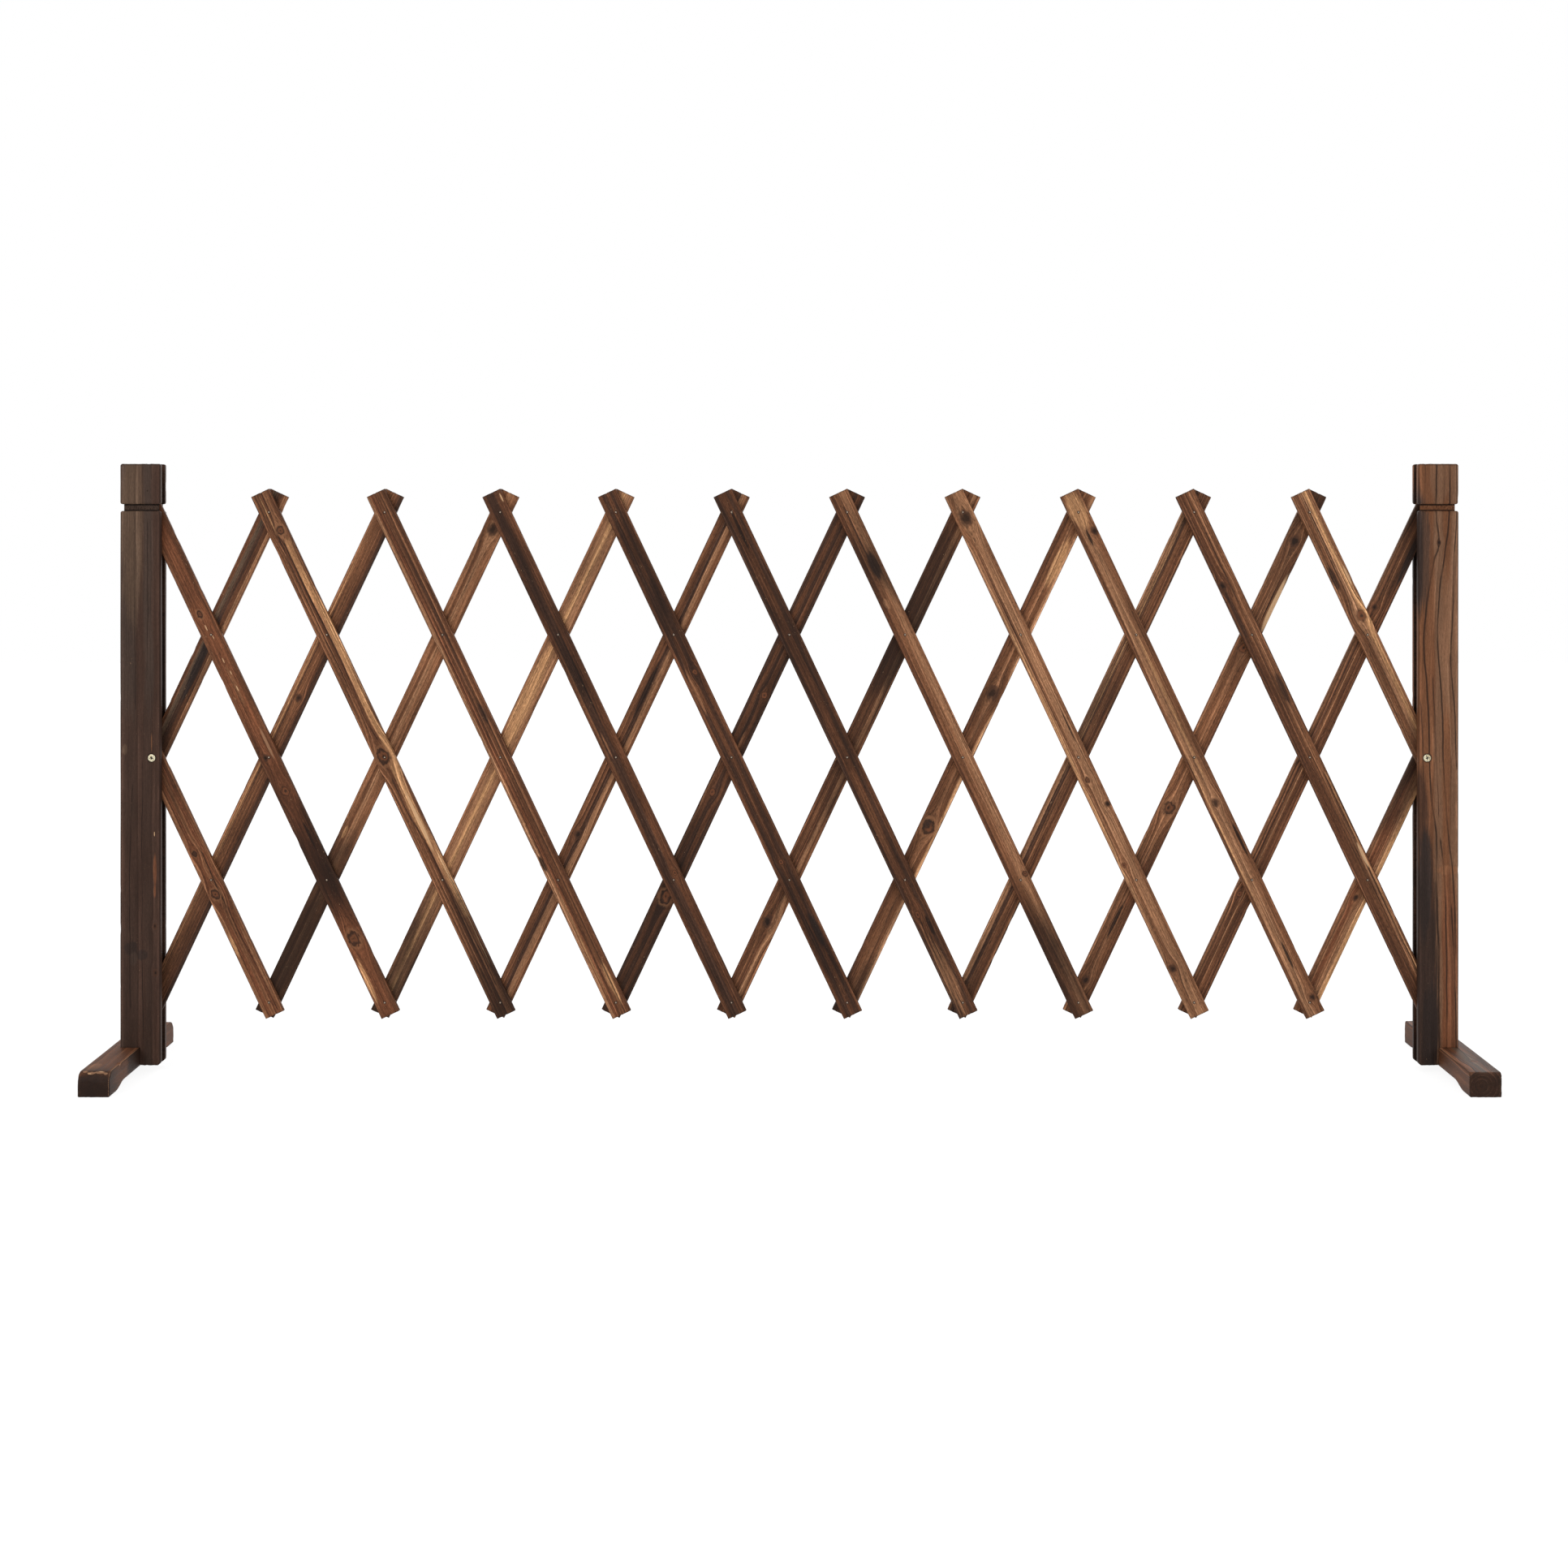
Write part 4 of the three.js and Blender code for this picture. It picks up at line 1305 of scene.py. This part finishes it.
def carve(piece, shape, operation="DIFFERENCE", surface=1):
    """Cuts a closed shape out of a piece, or joins it on. The new faces get the surface's slot."""
    for face in shape.faces:
        face.material_index = surface
    tool = object_from(shape, "carving_tool", piece.data.materials)
    step = piece.modifiers.new("carving", "BOOLEAN")
    step.operation = operation
    step.solver = "MANIFOLD"
    step.object = tool
    graph = bpy.context.evaluated_depsgraph_get()
    graph.update()
    carved = bpy.data.meshes.new_from_object(piece.evaluated_get(graph), depsgraph=graph)
    piece.modifiers.clear()
    blank = piece.data
    name = blank.name
    piece.data = carved
    bpy.data.meshes.remove(blank)
    carved.name = name
    bpy.data.objects.remove(tool, do_unlink=True)


def set_piece(piece, body, slot, *nodes, matrix):
    """Puts the mesh in its place, smooths it up to its edges and ties it to the frame."""
    bm = bmesh.new()
    bm.from_mesh(piece.data)
    moved_shape(bm, matrix)
    for face in bm.faces:
        face.smooth = True
    for edge in bm.edges:
        edge.smooth = edge.is_manifold and edge.calc_face_angle(0) < math.radians(38)
    bm.to_mesh(piece.data)
    bm.free()
    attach(piece, body)
    if nodes:
        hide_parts(*nodes)


def screw_seat(node):
    """The matrix that seats a screw made along +Y with its head at the origin, and its length."""
    low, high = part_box(node)
    middle = (low + high) / 2
    if node.endswith("pivot_screw"):
        return Matrix.Translation((middle.x, low.y, middle.z)), high.y - low.y
    return Matrix.Translation((middle.x, middle.y, low.z)) @ QUARTER_TURN, high.z - low.z


def screw_room(node, origin):
    """The room that a countersunk screw needs in a piece with its own origin, open past its head."""
    metal = bpy.context.scene.trellis_metal
    seat, length = screw_seat(node)
    head = metal.screw_head_radius
    shank = metal.shank_radius
    gap = metal.seat_gap
    profile = (
        (0, -OVERRUN),
        (head + gap, -OVERRUN),
        (head + gap, SCREW_RIM),
        (shank + gap, SCREW_RIM + head - shank),
        (shank + gap, length + gap),
        (0, length + gap),
    )
    return moved_shape(spun_shape(profile, sides=32), Matrix.Translation(-origin) @ seat)


def end_name(column):
    """What a slat's name says after its layer: its number, or the post that a short one is at."""
    if column == 0:
        return "left_short"
    if column == BAYS:
        return "right_short"
    return f"{column:02d}"


def make_slat(layer, column, lean, look):
    """One slat with its nail holes, in place of its CAD node."""
    wood, metal, _ = settings()
    end_ease = 0.0004
    node = f"{layer}_slat_{end_name(column)}"
    low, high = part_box(node)
    size = high - low
    centre = (low + high) / 2
    spread = math.cos(2 * TILT)
    length = (size.z * math.cos(TILT) - size.x * math.sin(TILT)) / spread
    width = (size.x * math.cos(TILT) - size.z * math.sin(TILT)) / spread
    half_size = (width / 2, size.y / 2, length / 2)
    matrix = Matrix.Translation(centre) @ Matrix.Rotation(lean * TILT, 4, "Y")
    seed = SEEDS[layer] + column
    bm = rounded_bar(
        width,
        size.y,
        -length / 2,
        length / 2,
        wood.slat_ease,
        end_ease,
        lanes=11,
        layers=2,
        step=wood.slat_step,
    )
    weather(bm, half_size, wood.slat_relief, wood.slat_chip, wood.slat_ease, seed, look["knots"])
    surface = fir_material(f"fir_{node}", look, matrix, half_size, seed)
    piece = object_from(bm, f"fir_{node}", [surface, dark_cut_material()])
    middle = matrix.inverted() @ Vector((LEFT_PIVOT.x + column * PITCH, centre.y, LEFT_PIVOT.z))
    holes = bmesh.new()
    for joint in range(-2, 3):
        along = middle.z + joint * HOLE_SPACING
        if abs(along) > length / 2:
            continue
        at_post = column in (0, BAYS) and joint == 0
        radius = metal.shank_radius + metal.seat_gap if at_post else metal.hole_radius
        add_rod(holes, radius, size.y * 3, sides=16, place=(0, 0, along))
    carve(piece, holes)
    set_piece(piece, f"{layer}_{end_name(column)}", "slat_wood", node, matrix=matrix)


class TRELLIS_OT_front_slats(bpy.types.Operator):
    """Make the front layer of slats, which lean to the left"""

    bl_idname = "trellis.front_slats"
    bl_label = "Front Slats"

    def execute(self, context):
        for column, look in FRONT_LOOKS.items():
            make_slat("front", column, -1, look)
        return {"FINISHED"}


class TRELLIS_OT_rear_slats(bpy.types.Operator):
    """Make the rear layer of slats, which lean to the right"""

    bl_idname = "trellis.rear_slats"
    bl_label = "Rear Slats"

    def execute(self, context):
        for column, look in REAR_LOOKS.items():
            make_slat("rear", column, 1, look)
        return {"FINISHED"}


def post_block(size, low, high, seed, knots=()):
    """The shaft or the cap of a post, its edges eased all round."""
    wood = bpy.context.scene.trellis_wood
    ease = wood.post_ease
    block = rounded_bar(size.x, size.y, low, high, ease, ease, lanes=16, layers=10, step=0.004)
    weather(block, size / 2, wood.post_relief, wood.slat_chip, ease, seed, knots)
    return block


def post_neck(size, low, high, seed):
    """The narrower neck in the groove, which reaches into the shaft and the cap."""
    groove_depth = bpy.context.scene.trellis_wood.groove_depth
    width = size.x - 2 * groove_depth
    depth = size.y - 2 * groove_depth
    tenon = 0.01
    ease = 0.001
    neck = rounded_bar(
        width, depth, low - tenon, high + tenon, ease, ease, lanes=22, layers=14, step=0.0015
    )
    far_end = 1.0  # no wear at the ends, which are inside the shaft and the cap
    half_size = (width / 2, depth / 2, far_end)
    weather(neck, half_size, relief=0.0007, chip=0.0006, ease=ease, seed=seed)
    return neck


def cheek_corner(edge_out, corner_x, corner_z, bottom, depth, materials):
    """The waste that rounds the lower inner corner of a post."""
    radius = bpy.context.scene.trellis_wood.bottom_round
    block = across_box((edge_out, corner_x), depth, bottom - OVERRUN, corner_z)
    corner = object_from(block, "cheek_corner", materials)
    bar = bmesh.new()
    add_rod(bar, radius, depth * 3, sides=48, place=(corner_x, 0, corner_z))
    carve(corner, bar, surface=0)
    waste = bmesh.new()
    waste.from_mesh(corner.data)
    bpy.data.objects.remove(corner, do_unlink=True)
    return waste


def make_post(side_name, side):
    """An upright with its cap, groove, slot, foot notch and screw holes."""
    wood, metal, _ = settings()
    node = f"{side_name}_post"
    look = POST_LOOKS[side_name]
    seed = SEEDS["post"] + side
    low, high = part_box(node)
    size = high - low
    centre = (low + high) / 2
    half_size = tuple(size / 2)
    matrix = Matrix.Translation(centre)
    top = high.z - centre.z
    bottom = low.z - centre.z
    groove_top = top - wood.cap_height
    groove_bottom = groove_top - wood.groove_height
    surface = fir_material(f"fir_{node}", look, matrix, half_size, seed)
    groove = groove_material(
        f"groove_{node}", look["groove"], groove_bottom + centre.z, groove_top + centre.z
    )
    materials = [surface, dark_cut_material(), groove]

    # Shaft, neck and cap
    shaft = post_block(size, bottom, groove_bottom, seed, look["knots"])
    neck = post_neck(size, groove_bottom, groove_top, seed + 7)
    cap = post_block(size, groove_top, top, seed + 3)
    piece = object_from(shaft, f"fir_{node}", materials)
    carve(piece, neck, "UNION", surface=2)
    carve(piece, cap, "UNION", surface=0)

    # The slot for the slats, the notch that stands in the foot, and the rounded cheeks
    inner = -side * size.x / 2
    edge_out = inner - side * OVERRUN
    slot_sides = (edge_out, inner + side * wood.slot_depth)
    under = bottom - 2 * OVERRUN
    carve(piece, across_box(slot_sides, wood.slot_width / 2, under, top + 2 * OVERRUN))
    foot_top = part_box(f"{side_name}_foot")[1].z - centre.z
    notch_sides = (0.0, side * (size.x / 2 + OVERRUN))
    carve(piece, across_box(notch_sides, size.y, under, foot_top + metal.seat_gap))
    corner_x = inner + side * wood.bottom_round
    corner_z = bottom + wood.bottom_round
    waste = cheek_corner(edge_out, corner_x, corner_z, bottom, size.y, materials)
    carve(piece, waste, surface=0)
    for screw in ("pivot_screw", "foot_screw_front", "foot_screw_rear"):
        carve(piece, screw_room(f"{side_name}_{screw}", centre))
    set_piece(piece, f"{side_name}_upright", "post_wood", node, matrix=matrix)


class TRELLIS_OT_posts(bpy.types.Operator):
    """Make the two slotted posts"""

    bl_idname = "trellis.posts"
    bl_label = "Posts"

    def execute(self, context):
        make_post("left", -1)
        make_post("right", 1)
        return {"FINISHED"}


def half_cosine(share):
    """Rises from 0 to 1 along half a cosine wave."""
    share = min(1.0, max(0.0, share))
    return (1 - math.cos(math.pi * share)) / 2


def make_foot(side_name, side):
    """A foot from front to back, arched beneath, with rounded noses."""
    wood = bpy.context.scene.trellis_wood
    node = f"{side_name}_foot"
    look = FOOT_LOOKS[side_name]
    seed = SEEDS["foot"] + side
    low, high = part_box(node)
    size = high - low
    centre = (low + high) / 2
    bm = box_shape(-size / 2, size / 2)
    noses = []
    for edge in bm.edges:
        first, second = (vert.co for vert in edge.verts)
        if first.z > 0 and second.z > 0 and abs(first.y - second.y) < TINY:
            noses.append(edge)
    round_edges(bm, noses, wood.foot_end_round * look["nose"], segments=8)
    outlines = []
    for edge in bm.edges:
        if abs(edge.verts[0].co.x - edge.verts[1].co.x) < TINY:
            outlines.append(edge)
    round_edges(bm, outlines, wood.foot_ease, segments=2)
    divide(bm, size.x - 2 * wood.foot_ease, 12, axis=0)
    divide(bm, size.z - 2 * wood.foot_ease, 8, axis=2)
    divide(bm, size.y, 84, axis=1)
    pad_start = size.y / 2 - wood.foot_pad
    for vert in bm.verts:
        rise = half_cosine((pad_start - abs(vert.co.y)) / wood.foot_arch_run)
        vert.co.z += rise * wood.foot_arch_height * (0.5 - vert.co.z / size.z)
    moved_shape(bm, QUARTER_TURN.inverted())
    half_size = (size.x / 2, size.z / 2, size.y / 2)
    foot_chip = 0.0011
    weather(
        bm,
        half_size,
        wood.post_relief,
        foot_chip,
        wood.foot_ease,
        seed,
        look["knots"],
        stands=True,
    )
    matrix = Matrix.Translation(centre)
    surface = fir_material(f"fir_{node}", look, matrix @ QUARTER_TURN, half_size, seed)
    piece = object_from(moved_shape(bm, QUARTER_TURN), f"fir_{node}", [surface, dark_cut_material()])
    for end in ("front", "rear"):
        carve(piece, screw_room(f"{side_name}_foot_screw_{end}", centre))
    set_piece(piece, f"{side_name}_upright", "foot_wood", node, matrix=matrix)


class TRELLIS_OT_feet(bpy.types.Operator):
    """Make the two feet"""

    bl_idname = "trellis.feet"
    bl_label = "Feet"

    def execute(self, context):
        make_foot("left", -1)
        make_foot("right", 1)
        return {"FINISHED"}


def make_nail(label, row_name, place, reach, seed, steel):
    """A wire nail through both layers, domed in front and clenched behind."""
    metal = bpy.context.scene.trellis_metal
    head = metal.head_radius
    wire = metal.wire_radius
    dome = 0.00085
    clench = 0.0009
    dent = 0.00022
    seat = reach - 0.001
    profile = [(0.0, -reach)]
    for share in (0.3, 0.55, 0.78, 0.93, 1.0):
        profile.append((head * share, -reach + dome * dome_drop(share)))
    profile += [(wire, share * seat) for share in (-1, -0.5, 0, 0.5, 1)]
    for share in (1.0, 0.9, 0.7, 0.4):
        profile.append((head * 0.92 * share, reach - clench * dome_drop(share)))
    profile.append((0.0, reach))
    bm = spun_shape(profile, metal.round_sides)
    crown = bm.verts.layers.float.new("crown")
    for vert in bm.verts:
        radius = math.hypot(vert.co.x, vert.co.z)
        vert[crown] = 1 - radius / head if abs(vert.co.y) > seat else 0.0
        if vert.co.y > seat:
            blow = noise.noise(Vector((vert.co.x * 500, seed * 1.7, vert.co.z * 500)))
            vert.co.y -= dent * smooth_share(blow, -0.3, 0.6)
    piece = object_from(bm, f"wire_nail_{label}_{row_name}", [steel])
    node = f"nail_{label}_{row_name}"
    nodes = [node] if node in frame["nodes"] else []
    set_piece(piece, f"front_{label}", "nail_steel", *nodes, matrix=Matrix.Translation(place))


class TRELLIS_OT_nails(bpy.types.Operator):
    """Drive a wire nail through every crossing of two slats"""

    bl_idname = "trellis.nails"
    bl_label = "Wire Nails"

    def execute(self, context):
        steel = wire_material()
        low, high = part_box("nail_02_top")
        reach = (high.y - low.y) / 2
        for row, row_name in ROW_NAMES.items():
            for column in range(BAYS + 1):
                at = column - row / 2
                if 0 < at < BAYS:
                    place = Vector((LEFT_PIVOT.x + at * PITCH, 0, LEFT_PIVOT.z + row * RISE))
                    seed = column * 5 + row
                    make_nail(end_name(column), row_name, place, reach, seed, steel)
        return {"FINISHED"}


def make_screw(node, body, matrix, length, materials):
    """A countersunk cross-head screw along +Y with a cut thread."""
    metal = bpy.context.scene.trellis_metal
    head = metal.screw_head_radius
    shank = metal.shank_radius
    core = shank * 0.72
    rim = SCREW_RIM
    neck = rim + head - shank
    bevel = 0.0012
    thread_start = neck + 0.0015
    thread_pitch = 0.0018
    thread_width = 0.28
    tip = 0.004
    profile = [(0.0, 0.0), (head * 0.55, 0.0), (head * 0.93, 0.00004), (head, 0.0002), (head, rim)]
    profile += [(head - bevel, rim + bevel), (shank, neck), (core, neck + 0.001)]
    y = thread_start + 0.0001
    while y < length - tip:
        profile.append((core, y))
        y += thread_pitch / 6
    profile += [(core * 0.8, length - 0.003), (core * 0.4, length - 0.0012), (0.0, length)]
    bm = spun_shape(profile, sides=24)
    for vert in bm.verts:
        if vert.co.y < thread_start or math.hypot(vert.co.x, vert.co.z) < core * 0.5:
            continue
        turn = math.atan2(vert.co.z, vert.co.x) / FULL_TURN
        phase = (vert.co.y / thread_pitch - turn) % 1.0
        ridge = max(0.0, 1 - abs(phase - 0.5) / thread_width)
        begun = (vert.co.y - thread_start) / 0.002
        left = max(0.0, (length - vert.co.y) / tip)
        swell = 1 + (shank / core - 1) * ridge * min(1.0, begun, left)
        vert.co.x *= swell
        vert.co.z *= swell
    piece = object_from(bm, f"zinc_{node}", materials)
    arm_reach = 0.0027
    arm_half = 0.0008
    recess_depth = 0.0018
    for turned in (0.0, math.pi / 2):
        arm = box_shape((-arm_reach, -0.002, -arm_half), (arm_reach, recess_depth, arm_half))
        for vert in arm.verts:
            if vert.co.y > 0:
                vert.co.x *= 0.45
                vert.co.z *= 0.6
        carve(piece, moved_shape(arm, Matrix.Rotation(turned, 4, "Y")))
    set_piece(piece, body, "screw_zinc", node, matrix=matrix)


class TRELLIS_OT_screws(bpy.types.Operator):
    """Make the two pivot screws and the four foot screws"""

    bl_idname = "trellis.screws"
    bl_label = "Screws"

    def execute(self, context):
        materials = [zinc_material(), recess_material()]
        for side_name, spin in (("left", 0.3), ("right", -0.2)):
            screws = (("pivot_screw", spin), ("foot_screw_front", 0.0), ("foot_screw_rear", 0.0))
            for screw, turn in screws:
                node = f"{side_name}_{screw}"
                seat, length = screw_seat(node)
                matrix = seat @ Matrix.Rotation(turn, 4, "Y")
                make_screw(node, f"{side_name}_upright", matrix, length, materials)
        return {"FINISHED"}


def add_lamp(name, place, size, power):
    """A large soft lamp that looks at the middle of the fence."""
    middle = Vector((0.0, 0.0, 0.35))
    place = Vector(place)
    light = bpy.data.lights.new(name, "AREA")
    light.shape = "RECTANGLE"
    light.size, light.size_y = size
    light.energy = power
    lamp = bpy.data.objects.new(name, light)
    lamp.location = place
    lamp.rotation_euler = (middle - place).to_track_quat("-Z", "Y").to_euler()
    bpy.context.scene.collection.objects.link(lamp)


def floor_material(colour):
    """Pale floor, white to the camera away from the object, that keeps a soft shadow."""
    material, bench, shader, place = new_material("studio_floor")
    ripple = bench.slope(bench.speckle(place, (0.8, 0.8, 0.8)), 0.3, 0.7, 0.0, 0.03)
    shade = bench.mix(ripple, opaque(colour), (0.8, 0.8, 0.8, 1.0))
    matt = bench.feed_all(bench.put("ShaderNodeBsdfDiffuse"), Color=shade)[0]
    glow = bench.feed_all(bench.put("ShaderNodeEmission"), Strength=1.11)[0]
    beside, before, _ = bench.parts(bench.vector("ABSOLUTE", place))
    beside = bench.less(beside, RIGHT_PIVOT.x)
    far = bench.slope(bench.length(bench.joined(beside, before, 0.0)), 0.12, 0.7, 0.8, 1.0)
    share = bench.times(bench.seen(), far)
    blend = bench.feed_all(bench.put("ShaderNodeMixShader"), share, matt, glow)[0]
    bench.tree.nodes.remove(shader)
    bench.feed(bench.tree.nodes["Material Output"].inputs["Surface"], blend)
    return material


class TRELLIS_OT_stage(bpy.types.Operator):
    """Set up the camera, the soft lamps, the pale floor and the white room"""

    bl_idname = "trellis.stage"
    bl_label = "Stage"

    def execute(self, context):
        _, _, stage = settings()
        scene = context.scene
        lens = bpy.data.cameras.new("front_camera")
        lens.sensor_width = 36.0
        lens.lens = stage.lens
        lens.shift_y = stage.rise_shift
        camera = bpy.data.objects.new("front_camera", lens)
        camera.location = stage.camera_place
        camera.rotation_euler = (math.pi / 2, 0, 0)
        scene.collection.objects.link(camera)
        scene.camera = camera
        scene.view_settings.view_transform = "Standard"
        add_lamp("key_lamp", (-2.4, -2.6, 2.3), (2.2, 2.2), stage.key_power)
        add_lamp("fill_lamp", (2.6, -2.8, 1.4), (2.4, 2.0), stage.fill_power)
        add_lamp("top_lamp", (0.2, 0.4, 3.0), (3.0, 1.6), stage.top_power)
        add_lamp("back_lamp", (0.8, 3.0, 1.9), (2.6, 2.0), stage.back_power)
        floor_reach = 9.0
        floor_gap = 0.0002
        plane = bmesh.new()
        bmesh.ops.create_grid(plane, x_segments=2, y_segments=2, size=floor_reach)
        floor = object_from(plane, "studio_floor", [floor_material(stage.floor_colour)])
        floor.location.z = -floor_gap
        room = bpy.data.worlds.new("white_room")
        scene.world = room
        room.use_nodes = True
        bench = Bench(room.node_tree)
        level = bench.slope(bench.seen(), 0.0, 1.0, stage.sky_level, 1.0)
        bench.feed_all(room.node_tree.nodes["Background"], Color=WHITE, Strength=level)
        return {"FINISHED"}


class TRELLIS_PT_workshop(bpy.types.Panel):
    """The making steps and the sizes and colours that they use"""

    bl_idname = "TRELLIS_PT_workshop"
    bl_label = "Expandable Trellis"
    bl_space_type = "VIEW_3D"
    bl_region_type = "UI"
    bl_category = "Trellis"

    def draw(self, context):
        layout = self.layout
        for step in MAKING_ORDER:
            layout.operator(step.bl_idname)
        for group_name in GROUPS:
            group = getattr(context.scene, group_name)
            box = layout.box()
            for name in group.__annotations__:
                box.prop(group, name)


GROUPS = {
    "trellis_wood": TrellisWood,
    "trellis_metal": TrellisMetal,
    "trellis_stage": TrellisStage,
}
MAKING_ORDER = (
    TRELLIS_OT_stage,
    TRELLIS_OT_posts,
    TRELLIS_OT_feet,
    TRELLIS_OT_front_slats,
    TRELLIS_OT_rear_slats,
    TRELLIS_OT_nails,
    TRELLIS_OT_screws,
)


def register():
    for name, group in GROUPS.items():
        bpy.utils.register_class(group)
        setattr(bpy.types.Scene, name, PointerProperty(type=group))
    for step in MAKING_ORDER:
        bpy.utils.register_class(step)
    bpy.utils.register_class(TRELLIS_PT_workshop)


def unregister():
    bpy.utils.unregister_class(TRELLIS_PT_workshop)
    for step in reversed(MAKING_ORDER):
        bpy.utils.unregister_class(step)
    for name, group in reversed(GROUPS.items()):
        delattr(bpy.types.Scene, name)
        bpy.utils.unregister_class(group)


def main():
    """Makes every piece in order."""
    register()
    bpy.ops.trellis.stage()
    bpy.ops.trellis.posts()
    bpy.ops.trellis.feet()
    bpy.ops.trellis.front_slats()
    bpy.ops.trellis.rear_slats()
    bpy.ops.trellis.nails()
    bpy.ops.trellis.screws()


if __name__ == "__main__":
    main()
